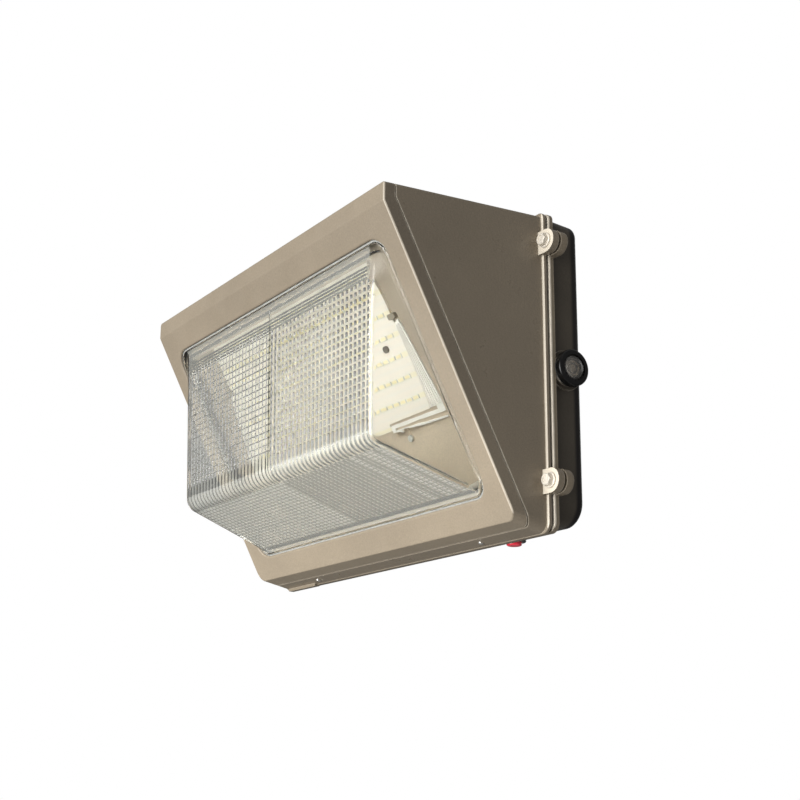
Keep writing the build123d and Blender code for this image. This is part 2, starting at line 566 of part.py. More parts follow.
# ------------------------------------------------------- inside the back box
def yscrew(x, z, y_head, y_tip, r_head, t_head, r_sh):
    """Screw driven into the back plate: head towards the room, flat side at y_head."""
    h = ycyl(x, z, y_head - t_head, y_head, r_head)
    h = fillet([e for e in h.edges() if near(e.center().Y, y_head - t_head, 0.01)], t_head * 0.4)
    h = h - extrude(front_plane(y_head - t_head + 0.7) * Pos(x, z) * Rectangle(r_head * 1.2, 0.7), amount=2) \
        - extrude(front_plane(y_head - t_head + 0.7) * Pos(x, z) * Rectangle(0.7, r_head * 1.2), amount=2)
    return h + ycyl(x, z, y_head - 0.2, y_tip, r_sh)


drv = box(DRV[0], DRV[1], -33.6, -3.8, DRV[2], DRV[3])
drv = fillet([e for e in drv.edges() if e.center().Y < -20 and e.length < 40 or near(e.center().Y, -33.6, 0.01)], 2.5)
drv = drv + box(DRV[0] - 13, DRV[1] + 13, -5.8, -3.8, 41.0, 61.0)
for x, z in DRV_SCR:
    drv = drv - ycyl(x, z, -8, 0, 2.1)
put("led_driver", drv)
put("driver_screws", [yscrew(x, z, -5.8, -1.0, 3.4, 2.4, 1.7) for x, z in DRV_SCR])

bat = box(BAT[0], BAT[1], -36.0, -3.8, BAT[2], BAT[3])
bat = fillet([e for e in bat.edges() if near(abs(e.center().Z - (BAT[2] + BAT[3]) / 2), (BAT[3] - BAT[2]) / 2, 0.01) and e.length > 100], 9.0)
bat = fillet([e for e in bat.edges() if near(e.center().X, BAT[0], 0.01) or near(e.center().X, BAT[1], 0.01)], 1.2)
put("battery_pack", bat)
straps = []
for x in (-70.0, 8.0):
    o = box(x - 6, x + 6, -37.3, -3.8, BAT[2] - 1.3, BAT[3] + 1.3)
    o = fillet([e for e in o.edges() if abs(e.length - 12) < 0.01 and near(abs(e.center().Z - (BAT[2] + BAT[3]) / 2), (BAT[3] - BAT[2]) / 2 + 1.3, 0.01) and e.center().Y < -30], 10.3)
    i = box(x - 7, x + 7, -36.05, -3.0, BAT[2] - 0.05, BAT[3] + 0.05)
    i = fillet([e for e in i.edges() if abs(e.length - 14) < 0.01 and e.center().Y < -30], 9.0)
    st = o - i
    st = st + box(x - 6, x + 6, -5.1, -3.8, BAT[3] + 0.2, BAT[3] + 14.0) + box(x - 6, x + 6, -5.1, -3.8, BAT[2] - 14.0, BAT[2] - 0.2)
    for z in (-80.0, -26.0):
        st = st - ycyl(x, z, -8, 0, 2.0)
    straps.append(st)
put("battery_straps", straps)
put("strap_screws", [yscrew(x, z, -5.1, -1.0, 3.2, 2.2, 1.7) for x, z in STRAP_SCR])

blk = box(BLK[0], BLK[1], -22.0, -3.8, BLK[2], BLK[3])
for k in range(1, 3):
    blk = blk - box(BLK[0] + 16.0 * k - 0.6, BLK[0] + 16.0 * k + 0.6, -24, -12.0, BLK[2] - 1, BLK[3] + 1)
clamp_s = []
for k in range(3):
    xk = BLK[0] + 8.0 + 16.0 * k
    for z in (BLK[2] + 6.0, BLK[3] - 6.0):
        blk = blk - ycyl(xk, z, -24, -13.0, 2.9)
        clamp_s.append(yscrew(xk, z, -15.0, -13.0, 2.6, 2.0, 1.5))
    blk = blk - zcyl(xk, -9.0, BLK[2] - 1, BLK[2] + 9, 2.4) - zcyl(xk, -9.0, BLK[3] - 9, BLK[3] + 1, 2.4)
for x, z in BLK_SCR:
    blk = blk - ycyl(x, z, -30, 0, 1.9) - ycyl(x, z, -30, -16.0, 3.2)
put("terminal_block", blk)
put("terminal_screws", clamp_s)
put("block_screws", [yscrew(x, z, -16.0, -1.0, 2.9, 2.0, 1.7) for x, z in BLK_SCR])

hexh = extrude(front_plane(-4.6) * Pos(*EARTH) * RegularPolygon(4.6, 6), amount=3.6)
put("earth_screw", hexh + ycyl(EARTH[0], EARTH[1], -4.8, -3.65, 6.2) + ycyl(EARTH[0], EARTH[1], -4.8, -1.0, 1.7))

# -------------------------------------------------------------------- photocell
pc = xcyl(PC_Y, PC_Z, 184.4, 189.6, 13.2)
pc = fillet([e for e in pc.edges() if near(e.center().X, 189.6, 0.01)], 1.6)
pc = pc + xcyl(PC_Y, PC_Z, 164.0, 184.6, 8.4)
pc = pc - xcyl(PC_Y, PC_Z, 187.2, 195, 9.3)
pc = pc - xcyl(PC_Y, PC_Z, 168.0, 195, 6.2)
put("photocell_body", pc)
seal_p = xcyl(PC_Y, PC_Z, 183.0, 184.4, 12.4) - xcyl(PC_Y, PC_Z, 180, 190, 8.4)
put("photocell_seal", seal_p)
lens_sk = make_face(Polyline((0, 187.2), (9.2, 187.2), (9.2, 188.4), (7.4, 189.9), (4.6, 191.1), (0, 191.7), close=True))
lens = revolve(Plane(origin=(0, PC_Y, PC_Z), x_dir=(0, 1, 0), z_dir=(0, 0, -1)) * lens_sk, axis=Axis((0, PC_Y, PC_Z), (1, 0, 0)))
put("photocell_lens", lens)
sens = xcyl(PC_Y, PC_Z, 176.0, 186.4, 5.6)
put("photocell_sensor", sens + xcyl(PC_Y, PC_Z, 168.0, 176.2, 6.1))
nut = extrude(Plane.YZ.offset(168.2) * Pos(PC_Y, PC_Z) * RegularPolygon(11.0, 6), amount=5.4) - xcyl(PC_Y, PC_Z, 160, 180, 8.45)
put("photocell_nut", nut)

# ------------------------------------------------------------------ conduit plugs
def plug_x():
    p = extrude(Plane.YZ.offset(PLUG_LX) * Pos(PLUG_Y, 2.3) * Circle(12.2), amount=-2.6)
    p = fillet([e for e in p.edges() if near(e.center().X, PLUG_LX - 2.6, 0.01)], 0.9)
    p = p + xcyl(PLUG_Y, 2.3, PLUG_LX - 0.2, PLUG_LX + 9.0, 8.8)
    return p - extrude(Plane.YZ.offset(PLUG_LX - 2.7) * Pos(PLUG_Y, 2.3) * RegularPolygon(4.6, 6), amount=4.5)


def plug_z():
    """Flush pipe plug with a hex socket."""
    p = zcyl(PLUG_BX, PLUG_BY, PLUG_BZ, PLUG_BZ + 10.0, 8.9)
    p = chamfer([e for e in p.edges() if near(e.center().Z, PLUG_BZ, 0.01)], 0.6)
    return p - extrude(Plane.XY.offset(PLUG_BZ - 0.1) * Pos(PLUG_BX, PLUG_BY) * RegularPolygon(4.6, 6), amount=5.0)


put("conduit_plugs", [plug_x(), plug_z()])

# --------------------------------------------------------------------- test button
Z_BZ = -109.2                                       # seat of the bezel
Z_LIP = -109.4                                      # top of the lip that keeps the cap in
bez = zcyl(BTN_X, BTN_Y, Z_BZ - 2.4, Z_BZ, 8.6)
bez = fillet([e for e in bez.edges() if near(e.center().Z, Z_BZ - 2.4, 0.01)], 0.9)
bez = bez + zcyl(BTN_X, BTN_Y, Z_BZ - 0.2, -88.0, 7.2)
bez = bez - zcyl(BTN_X, BTN_Y, Z_BZ - 5, -105.0, 5.68)
bez = bez - zcyl(BTN_X, BTN_Y, Z_LIP, -101.5, 6.38)
bez = bez - zcyl(BTN_X, BTN_Y, -101.6, -90.0, 4.6)
put("button_body", bez)
bn = extrude(Plane.XY.offset(-101.9) * Pos(BTN_X, BTN_Y) * RegularPolygon(9.8, 6), amount=3.0) - zcyl(BTN_X, BTN_Y, -120, -80, 7.25)
put("button_nut", bn)
cap = zcyl(BTN_X, BTN_Y, -114.2, -104.2, 5.6)
cap = fillet([e for e in cap.edges() if near(e.center().Z, -114.2, 0.01)], 1.6)
cap = cap + zcyl(BTN_X, BTN_Y, Z_LIP + 0.4, -104.2, 6.3)
cap = cap - zcyl(BTN_X, BTN_Y, -112.0, -100.0, 4.1)
put("button_cap", cap)
# return spring between the cap's floor and the body's inner end
path = Helix(pitch=2.6, height=20.4, radius=3.3, center=(BTN_X, BTN_Y, -111.2))
prof = Plane(origin=path.position_at(0), z_dir=path.tangent_at(0)) * Circle(0.35)
spring = sweep(prof, path=path)
put("button_spring", spring)

# ---------------------------------------------------------------------- bolts
for nm, zc in zip(("upper", "lower"), LUG_Z):
    y_w = DOOR_LUG_Y - 0.1
    wsh = ycyl(LUG_X, zc, y_w - 1.3, y_w, 5.5)
    wsh = fillet([e for e in wsh.edges() if near(e.center().Y, y_w - 1.3, 0.01)], 0.5)
    wsh = wsh - ycyl(LUG_X, zc, -60, 0, 2.3)
    put("bolt_washer_" + nm, wsh)
    hd = extrude(front_plane(y_w - 1.3) * Pos(LUG_X, zc) * RegularPolygon(8.0 / 2 / math.cos(math.pi / 6), 6), amount=3.7)
    dome_cut = extrude(front_plane(y_w - 1.3) * Pos(LUG_X, zc) * Circle(4.25), amount=3.7)
    dome_cut = chamfer([e for e in dome_cut.edges() if near(e.center().Y, y_w - 5.0, 0.01)], 0.6)
    hd = hd & (dome_cut + ycyl(LUG_X, zc, y_w - 4.2, y_w - 1.3, 6.0))
    hd = hd - ycyl(LUG_X, zc, y_w - 6, y_w - 4.4, 2.6)
    hd = hd + ycyl(LUG_X, zc, y_w - 1.5, -30.0, 2.15) + ycyl(LUG_X, zc, -30.6, -22.6, BOLT_R)
    put("bolt_" + nm, hd)

# ----------------------------------------------------------------------- write
os.makedirs("parts", exist_ok=True)
for name, shape in parts.items():
    export_step(shape, os.path.join("parts", name + ".step"))
    print(name, round(shape.volume, 1), len(shape.solids()))
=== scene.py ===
import bpy
import bmesh
import math
import numpy as np
from mathutils import Matrix, Vector

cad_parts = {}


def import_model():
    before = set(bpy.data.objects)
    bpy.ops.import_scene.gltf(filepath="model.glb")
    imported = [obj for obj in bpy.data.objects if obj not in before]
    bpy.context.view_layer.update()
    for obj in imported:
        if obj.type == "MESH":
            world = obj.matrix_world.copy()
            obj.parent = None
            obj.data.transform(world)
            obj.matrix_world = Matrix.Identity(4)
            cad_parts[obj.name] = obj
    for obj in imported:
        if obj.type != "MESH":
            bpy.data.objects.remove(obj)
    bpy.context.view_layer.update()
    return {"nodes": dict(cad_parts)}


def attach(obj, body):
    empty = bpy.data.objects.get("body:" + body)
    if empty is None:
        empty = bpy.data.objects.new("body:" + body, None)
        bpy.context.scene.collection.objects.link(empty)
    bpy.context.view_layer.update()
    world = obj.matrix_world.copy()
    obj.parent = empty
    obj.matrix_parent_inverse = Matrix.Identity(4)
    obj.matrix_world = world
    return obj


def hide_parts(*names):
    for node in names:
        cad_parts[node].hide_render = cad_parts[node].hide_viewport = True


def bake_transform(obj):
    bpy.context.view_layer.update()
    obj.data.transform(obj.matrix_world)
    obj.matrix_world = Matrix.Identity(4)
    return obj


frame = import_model()
N = frame["nodes"]
scene = bpy.context.scene
scene.view_settings.view_transform = "Standard"

# ------------------------------------------------------------------ slanted frame
# s runs down the slanted face, o stands square to it, x across (millimetres)
Y0, Z0 = -168.0, 93.8
_dy, _dz = -61.0 - Y0, -108.9 - Z0
_l = math.hypot(_dy, _dz)
DY, DZ = _dy / _l, _dz / _l
NY, NZ = DZ, -DY


def sp(s, o=0.0):
    return (Y0 + DY * s + NY * o, Z0 + DZ * s + NZ * o)


def so_of(y, z):
    return ((y - Y0) * DY + (z - Z0) * DZ, (y - Y0) * NY + (z - Z0) * NZ)


def world(x, s, o):
    """Millimetres in the slanted frame to metres in the row frame."""
    y, z = sp(s, o)
    return (x * 0.001, y * 0.001, z * 0.001)


# ------------------------------------------------------------------- node helpers
class Mat:
    """Small helper around one material's node tree."""

    def __init__(self, name):
        self.m = bpy.data.materials.new(name)
        self.m.use_nodes = True
        self.t = self.m.node_tree
        self.t.nodes.clear()
        self.out = self.add("ShaderNodeOutputMaterial")
        self.b = self.add("ShaderNodeBsdfPrincipled")
        self.link(self.b, "BSDF", self.out, "Surface")
        self.co = self.add("ShaderNodeTexCoord")

    def add(self, kind, **kw):
        n = self.t.nodes.new(kind)
        for k, v in kw.items():
            setattr(n, k, v)
        return n

    def link(self, a, ao, b, bi):
        self.t.links.new(a.outputs[ao], b.inputs[bi])

    def set(self, **kw):
        for k, v in kw.items():
            self.b.inputs[k.replace("_", " ")].default_value = v
        return self

    def noise(self, scale, detail=4.0, rough=0.55, dist=0.0, vec=None):
        n = self.add("ShaderNodeTexNoise")
        n.inputs["Scale"].default_value = scale
        n.inputs["Detail"].default_value = detail
        n.inputs["Roughness"].default_value = rough
        n.inputs["Distortion"].default_value = dist
        if vec is None:
            self.link(self.co, "Object", n, "Vector")
        else:
            self.link(vec[0], vec[1], n, "Vector")
        return n

    def voronoi(self, scale, feature="F1", rand=1.0):
        n = self.add("ShaderNodeTexVoronoi", feature=feature)
        n.inputs["Scale"].default_value = scale
        n.inputs["Randomness"].default_value = rand
        self.link(self.co, "Object", n, "Vector")
        return n

    def mapr(self, src, out, a, b, c=0.0, d=1.0, smooth=False):
        n = self.add("ShaderNodeMapRange")
        n.clamp = True
        if smooth:
            n.interpolation_type = "SMOOTHSTEP"
        for k, v in zip(("From Min", "From Max", "To Min", "To Max"), (a, b, c, d)):
            n.inputs[k].default_value = v
        self.link(src, out, n, "Value")
        return n

    def math(self, op, a, b=None):
        n = self.add("ShaderNodeMath", operation=op)
        for i, v in enumerate((a, b)):
            if v is None:
                continue
            if isinstance(v, (int, float)):
                n.inputs[i].default_value = v
            else:
                self.t.links.new(v[0].outputs[v[1]], n.inputs[i])
        return n

    def mix(self, fac, a, b, blend="MIX"):
        n = self.add("ShaderNodeMixRGB", blend_type=blend)
        for i, v in enumerate((fac, a, b)):
            if isinstance(v, (int, float)):
                n.inputs[i].default_value = v
            elif isinstance(v[0], (int, float)):
                n.inputs[i].default_value = (v[0], v[1], v[2], 1.0)
            else:
                self.t.links.new(v[0].outputs[v[1]], n.inputs[i])
        return n

    def bump(self, src, out, strength, dist, after=None):
        n = self.add("ShaderNodeBump")
        n.inputs["Strength"].default_value = strength
        n.inputs["Distance"].default_value = dist
        self.link(src, out, n, "Height")
        if after is not None:
            self.link(after, "Normal", n, "Normal")
        self.last_bump = n
        return n

    def sep(self):
        n = self.add("ShaderNodeSeparateXYZ")
        self.link(self.co, "Object", n, "Vector")
        return n

    def edge(self, radius, lo, hi):
        """0 on flat ground, 1 near a convex or concave edge."""
        bv = self.add("ShaderNodeBevel", samples=6)
        bv.inputs["Radius"].default_value = radius
        ge = self.add("ShaderNodeNewGeometry")
        d = self.add("ShaderNodeVectorMath", operation="DOT_PRODUCT")
        self.link(bv, "Normal", d, 0)
        self.link(ge, "Normal", d, 1)
        one = self.math("SUBTRACT", 1.0, (d, "Value"))
        return self.mapr(one, "Value", lo, hi)


def put_on(name, m):
    o = N[name]
    o.data.materials.clear()
    o.data.materials.append(m)


# ------------------------------------------------------------------------ paints
def powder(name, base, light, rough, specks=1.0, painted_rear_shade=None, edge_gain=0.5, proud=None, lip=None, rim=None,
           ledge=None, spec=0.42, painted_light_ramp=None):
    """Textured powder coat on die-cast metal: mottling, orange peel, dust, worn edges, with optional painted shade and
    painted highlights.
    """
    k = Mat(name)
    big = k.noise(11.0, 5.0, 0.6)
    mot = k.mapr(big, "Fac", 0.3, 0.7)
    c0 = k.mix((mot, "Result"), tuple(v * 0.93 for v in base), tuple(v * 1.07 for v in base))
    fine = k.noise(900.0, 2.0, 0.6)
    fm = k.mapr(fine, "Fac", 0.3, 0.7, 0.0, 1.0)
    c1 = k.mix((fm, "Result"), (0.9, 0.9, 0.9), (1.08, 1.08, 1.08))
    c2 = k.mix(1.0, (c0, "Color"), (c1, "Color"), "MULTIPLY")
    col = c2
    # painted shade: the back box darkens toward the wall, down to near black at the rear
    if painted_rear_shade is not None:
        xyz = k.sep()
        nrm = k.add("ShaderNodeSeparateXYZ")
        k.link(k.co, "Normal", nrm, "Vector")
        wall = k.mapr(nrm, "Y", 0.93, 0.99, 1.0, 0.0)         # not on the face that lies on the wall
        # nor inside the box
        ax = k.math("ABSOLUTE", (xyz, "X"))
        up = k.math("ADD", (ax, "Value"), (xyz, "Z"))
        dn = k.math("SUBTRACT", (ax, "Value"), (xyz, "Z"))
        shell = k.mapr(ax, "Value", 0.1755, 0.1760)
        for node, sock, lo, hi, p, q in ((xyz, "Z", 0.1136, 0.1140, 0.0, 1.0), (xyz, "Z", -0.1044, -0.1040, 1.0, 0.0),
                                         (up, "Value", 0.2833, 0.2839, 0.0, 1.0), (dn, "Value", 0.2719, 0.2725, 0.0, 1.0)):
            shell = k.math("MAXIMUM", (shell, "Result" if "Result" in shell.outputs else "Value"),
                           (k.mapr(node, sock, lo, hi, p, q), "Result"))
        for y_a, y_b, dark in painted_rear_shade:
            r = k.mapr(xyz, "Y", y_a, y_b, 0.0, 1.0, True)
            wob = k.noise(30.0, 3.0)
            rr = k.math("MULTIPLY", (r, "Result"), (k.mapr(wob, "Fac", 0.25, 0.6, 0.9, 1.0), "Result"))
            rr = k.math("MULTIPLY", (k.math("MULTIPLY", (rr, "Value"), (wall, "Result")), "Value"), (shell, "Value"))
            col = k.mix((rr, "Value"), (col, "Color"), dark)
    # painted highlight on the faces that stand proud of the sides
    if proud is not None:
        xyz = k.sep()
        ax = k.math("ABSOLUTE", (xyz, "X"))
        pr = k.mapr(ax, "Value", proud[0], proud[1], 0.0, 1.0, True)
        py = k.mapr(xyz, "Y", proud[2], proud[3], 1.0, 0.0, True)
        pn = k.mapr(k.noise(90.0, 4.0, 0.65), "Fac", 0.3, 0.6, 0.55, 1.0)
        px = k.mapr(ax, "Value", proud[5], proud[5] + 0.0005, 1.0, 0.0)
        pf = k.math("MULTIPLY", (k.math("MULTIPLY", (pr, "Result"), (py, "Result")), "Value"), (pn, "Result"))
        pf = k.math("MULTIPLY", (pf, "Value"), (px, "Result"))
        col = k.mix((k.math("MULTIPLY", (pf, "Value"), proud[4]), "Value"), (col, "Color"), light)
    # painted highlight also on the ledges and lugs that face the room beside the housing
    if ledge is not None:
        nrm = k.add("ShaderNodeSeparateXYZ")
        k.link(k.co, "Normal", nrm, "Vector")
        xyz = k.sep()
        ax = k.math("ABSOLUTE", (xyz, "X"))
        lx = k.mapr(ax, "Value", ledge[0], ledge[0] + 0.0004, 0.0, 1.0, True)
        lo_ = k.mapr(ax, "Value", ledge[2], ledge[2] + 0.0005, 1.0, 0.0)
        lx = k.mapr(k.math("MULTIPLY", (lx, "Result"), (lo_, "Result")), "Value", 0.0, 1.0)
        ln_ = k.mapr(nrm, "Y", -0.75, -0.35, 1.0, 0.0, True)
        lg = k.math("MULTIPLY", (lx, "Result"), (ln_, "Result"))
        col = k.mix((k.math("MULTIPLY", (lg, "Value"), ledge[1]), "Value"), (col, "Color"), light)
    # painted shade on the frame's sides, and painted highlight along the rounded front edges of the frame
    if rim is not None:
        xyz = k.sep()
        ax = k.math("ABSOLUTE", (xyz, "X"))
        side = k.mapr(ax, "Value", 0.1794, 0.1797, 0.0, 1.0)
        col = k.mix((k.math("MULTIPLY", (side, "Result"), rim[1]), "Value"), (col, "Color"), (0.0, 0.0, 0.0))
        dot = k.add("ShaderNodeVectorMath", operation="DOT_PRODUCT")
        k.link(k.co, "Object", dot, 0)
        dot.inputs[1].default_value = (0.0, NY, NZ)
        off = k.math("ADD", (dot, "Value"), -(Y0 * NY + Z0 * NZ) * 0.001)
        near_s = k.mapr(off, "Value", -0.0013, -0.0008, 0.0, 1.0, True)
        near_f = k.mapr(xyz, "Y", -0.1672, -0.1667, 1.0, 0.0, True)
        near_x = k.mapr(ax, "Value", 0.1786, 0.1791, 0.0, 1.0, True)
        rf = k.math("MULTIPLY", (k.math("MAXIMUM", (near_s, "Result"), (near_f, "Result")), "Value"), (near_x, "Result"))
        rn_ = k.mapr(k.noise(45.0, 4.0, 0.65), "Fac", 0.3, 0.6, 0.6, 1.0)
        rf = k.math("MULTIPLY", (rf, "Value"), (rn_, "Result"))
        col = k.mix((k.math("MULTIPLY", (rf, "Value"), rim[0]), "Value"), (col, "Color"), light)
    # painted highlight along the lip behind the parting line, weaker on the underside
    if lip is not None:
        dot = k.add("ShaderNodeVectorMath", operation="DOT_PRODUCT")
        k.link(k.co, "Object", dot, 0)
        dot.inputs[1].default_value = (0.0, NY, NZ)
        off = k.math("ADD", (dot, "Value"), -(Y0 * NY + Z0 * NZ) * 0.001)
        slant = k.mapr(off, "Value", -lip[1], -lip[0], 0.0, 1.0, True)
        xyz = k.sep()
        front = k.mapr(xyz, "Y", lip[2], lip[2] + 0.0008, 1.0, 0.0, True)
        lf = k.math("MAXIMUM", (slant, "Result"), (front, "Result"))
        ln = k.mapr(k.noise(60.0, 4.0, 0.65), "Fac", 0.3, 0.6, 0.45, 1.0)
        lf = k.math("MULTIPLY", (lf, "Value"), (ln, "Result"))
        lb = k.mapr(xyz, "Z", -0.1065, -0.1025, lip[4], 1.0, True)
        lf = k.math("MULTIPLY", (lf, "Value"), (lb, "Result"))
        col = k.mix((k.math("MULTIPLY", (lf, "Value"), lip[3]), "Value"), (col, "Color"), light)
    # painted light and shade: lighter toward the foot, darker toward the head
    if painted_light_ramp is not None:
        xyz = k.sep()
        fd = k.mapr(xyz, "Z", painted_light_ramp[0], painted_light_ramp[1], painted_light_ramp[2], painted_light_ramp[3], True)
        col = k.mix(1.0, (col, "Color"), (fd, "Result"), "MULTIPLY")
    # worn, dusty edges, lightened also as painted highlight
    e = k.edge(0.0011, 0.02, 0.22)
    en = k.mapr(k.noise(140.0, 4.0, 0.7), "Fac", 0.35, 0.62, 0.35, 1.0)
    ef = k.math("MULTIPLY", (e, "Result"), (en, "Result"))
    ef2 = k.math("MULTIPLY", (ef, "Value"), edge_gain)
    col = k.mix((ef2, "Value"), (col, "Color"), light)
    # dust specks
    v = k.voronoi(75.0)
    gate = k.add("ShaderNodeSeparateColor")
    k.link(v, "Color", gate, "Color")
    g1 = k.mapr(gate, "Red", 0.80, 0.82)
    size = k.mapr(gate, "Green", 0.0, 1.0, 0.02, 0.055)
    near = k.math("LESS_THAN", (v, "Distance"), (size, "Result"))
    sf = k.math("MULTIPLY", (g1, "Result"), (near, "Value"))
    sf2 = k.math("MULTIPLY", (sf, "Value"), 0.75 * specks)
    col = k.mix((sf2, "Value"), (col, "Color"), tuple(min(0.75, c * 1.15) for c in light))
    k.link(col, "Color", k.b, "Base Color")
    rn = k.mapr(k.noise(60.0, 4.0), "Fac", 0.3, 0.7, rough - 0.06, rough + 0.08)
    k.link(rn, "Result", k.b, "Roughness")
    b1 = k.bump(k.noise(420.0, 2.0, 0.5), "Fac", 0.22, 0.0006)
    b2 = k.bump(fine, "Fac", 0.12, 0.0003, b1)
    k.link(b2, "Normal", k.b, "Normal")
    k.set(Specular_IOR_Level=spec)
    return k.m


BRONZE = (0.198, 0.164, 0.120)
LIGHT = (0.66, 0.60, 0.50)
m_frame = powder("frame_powder_coat", BRONZE, LIGHT, 0.46, specks=0.5, edge_gain=0.6, rim=(0.38, 0.14),
                 painted_light_ramp=(-0.10, 0.095, 1.21, 0.94))
m_house = powder("housing_powder_coat", BRONZE, LIGHT, 0.32, specks=1.2, edge_gain=0.6,
                 lip=(0.0108, 0.0118, -0.1583, 0.6, 0.08), ledge=(0.1803, 0.75, 0.25))
m_back = powder("back_powder_coat", BRONZE, LIGHT, 0.40, specks=0.6, edge_gain=0.45, spec=0.25,
                painted_rear_shade=((-0.0262, -0.0235, (0.060, 0.051, 0.039)), (-0.0090, -0.0055, (0.007, 0.006, 0.006))),
                proud=(0.1812, 0.1818, -0.0290, -0.0286, 0.9, 0.1832), ledge=(0.1790, 0.75, 0.1835))
m_plug = powder("plug_powder_coat", BRONZE, LIGHT, 0.44, specks=0.3, edge_gain=0.6)
m_taupe = powder("plate_paint", (0.70, 0.580, 0.440), (0.7, 0.64, 0.55), 0.4, specks=0.4, edge_gain=0.3,
                 painted_light_ramp=(-0.07, 0.02, 1.14, 0.62))
m_clip = powder("clip_paint", (0.34, 0.285, 0.215), (0.4, 0.36, 0.3), 0.45, specks=0.0, edge_gain=0.1)


# ----------------------------------------------------------------------- rubber
def rubber(name, c):
    k = Mat(name)
    n = k.noise(500.0, 4.0, 0.7)
    f = k.mapr(n, "Fac", 0.3, 0.7)
    col = k.mix((f, "Result"), tuple(v * 0.7 for v in c), tuple(v * 1.4 for v in c))
    dust = k.mapr(k.noise(60.0, 6.0, 0.7), "Fac", 0.55, 0.75, 0.0, 0.25)
    col = k.mix((dust, "Result"), (col, "Color"), (0.16, 0.15, 0.135))
    k.link(col, "Color", k.b, "Base Color")
    k.link(k.mapr(n, "Fac", 0.3, 0.7, 0.55, 0.8), "Result", k.b, "Roughness")
    b = k.bump(n, "Fac", 0.2, 0.0004)
    k.link(b, "Normal", k.b, "Normal")
    return k.m


m_rubber = rubber("silicone_rubber", (0.03, 0.03, 0.028))
m_gasket = rubber("grey_silicone", (0.27, 0.275, 0.26))


# ------------------------------------------------------------------------ metals
def plated(name, c, rough, metal=1.0, grime_and_shade=(0.2, 0.18, 0.15), brushed=True):
    k = Mat(name)
    n = k.noise(260.0, 5.0, 0.6)
    f = k.mapr(n, "Fac", 0.3, 0.7)
    col = k.mix((f, "Result"), tuple(v * 0.86 for v in c), tuple(min(1.0, v * 1.06) for v in c))
    g = k.mapr(k.noise(900.0, 6.0, 0.75), "Fac", 0.56, 0.72, 0.0, 0.35)
    col = k.mix((g, "Result"), (col, "Color"), grime_and_shade)
    e = k.edge(0.0005, 0.02, 0.2)
    col = k.mix((k.math("MULTIPLY", (e, "Result"), 0.35), "Value"), (col, "Color"), tuple(min(1.0, v * 1.25) for v in c))
    k.link(col, "Color", k.b, "Base Color")
    k.link(k.mapr(n, "Fac", 0.25, 0.75, rough - 0.08, rough + 0.1), "Result", k.b, "Roughness")
    k.set(Metallic=metal)
    if brushed:
        mp = k.add("ShaderNodeMapping")
        mp.inputs["Scale"].default_value = (200.0, 200.0, 3000.0)
        k.link(k.co, "Object", mp, "Vector")
        br = k.noise(1.0, 2.0, 0.5, 0.0, (mp, "Vector"))
        b = k.bump(br, "Fac", 0.12, 0.0002)
    else:
        b = k.bump(n, "Fac", 0.1, 0.0003)
    k.link(b, "Normal", k.b, "Normal")
    return k.m


m_steel = plated("zinc_plated_steel", (0.72, 0.70, 0.66), 0.36)
m_bolt = plated("painted_bolt_steel", (0.66, 0.61, 0.53), 0.42, 0.35, brushed=False)
m_driver = plated("satin_aluminium_case", (0.34, 0.35, 0.36), 0.55, 0.6)
m_strap = plated("strap_steel", (0.34, 0.33, 0.31), 0.5)
m_solder = plated("solder_ends", (0.86, 0.82, 0.74), 0.5, 0.1, (0.66, 0.62, 0.54), False)
m_pale = plated("pale_zinc_screw", (0.86, 0.84, 0.78), 0.42, 0.3, (0.55, 0.52, 0.46), False)
m_green = plated("green_plated_screw", (0.07, 0.36, 0.13), 0.32, 0.7, brushed=False)


# ---------------------------------------------------------------------- plastics
def plastic(name, c, rough, var=0.08, dust=0.15, spec=0.5, grain=700.0, coat=0.0):
    k = Mat(name)
    n = k.noise(40.0, 5.0, 0.6)
    f = k.mapr(n, "Fac", 0.3, 0.7)
    col = k.mix((f, "Result"), tuple(v * (1 - var) for v in c), tuple(min(1.0, v * (1 + var)) for v in c))
    d = k.mapr(k.noise(240.0, 6.0, 0.75), "Fac", 0.58, 0.74, 0.0, dust)
    col = k.mix((d, "Result"), (col, "Color"), (0.42, 0.39, 0.34))
    k.link(col, "Color", k.b, "Base Color")
    g = k.noise(grain, 3.0, 0.6)
    k.link(k.mapr(g, "Fac", 0.3, 0.7, max(0.03, rough - 0.05), rough + 0.07), "Result", k.b, "Roughness")
    b = k.bump(g, "Fac", 0.06, 0.0003)
    k.link(b, "Normal", k.b, "Normal")
    k.set(Specular_IOR_Level=spec)
    if coat > 0:
        k.set(Coat_Weight=coat)
        k.b.inputs["Coat Roughness"].default_value = 0.08
    return k.m


m_black = plastic("gloss_black_plastic", (0.004, 0.004, 0.004), 0.14, 0.2, 0.03, 0.2, 900.0, 0.15)
m_white = plastic("satin_white_plastic", (0.90, 0.895, 0.87), 0.42, 0.02, 0.03)


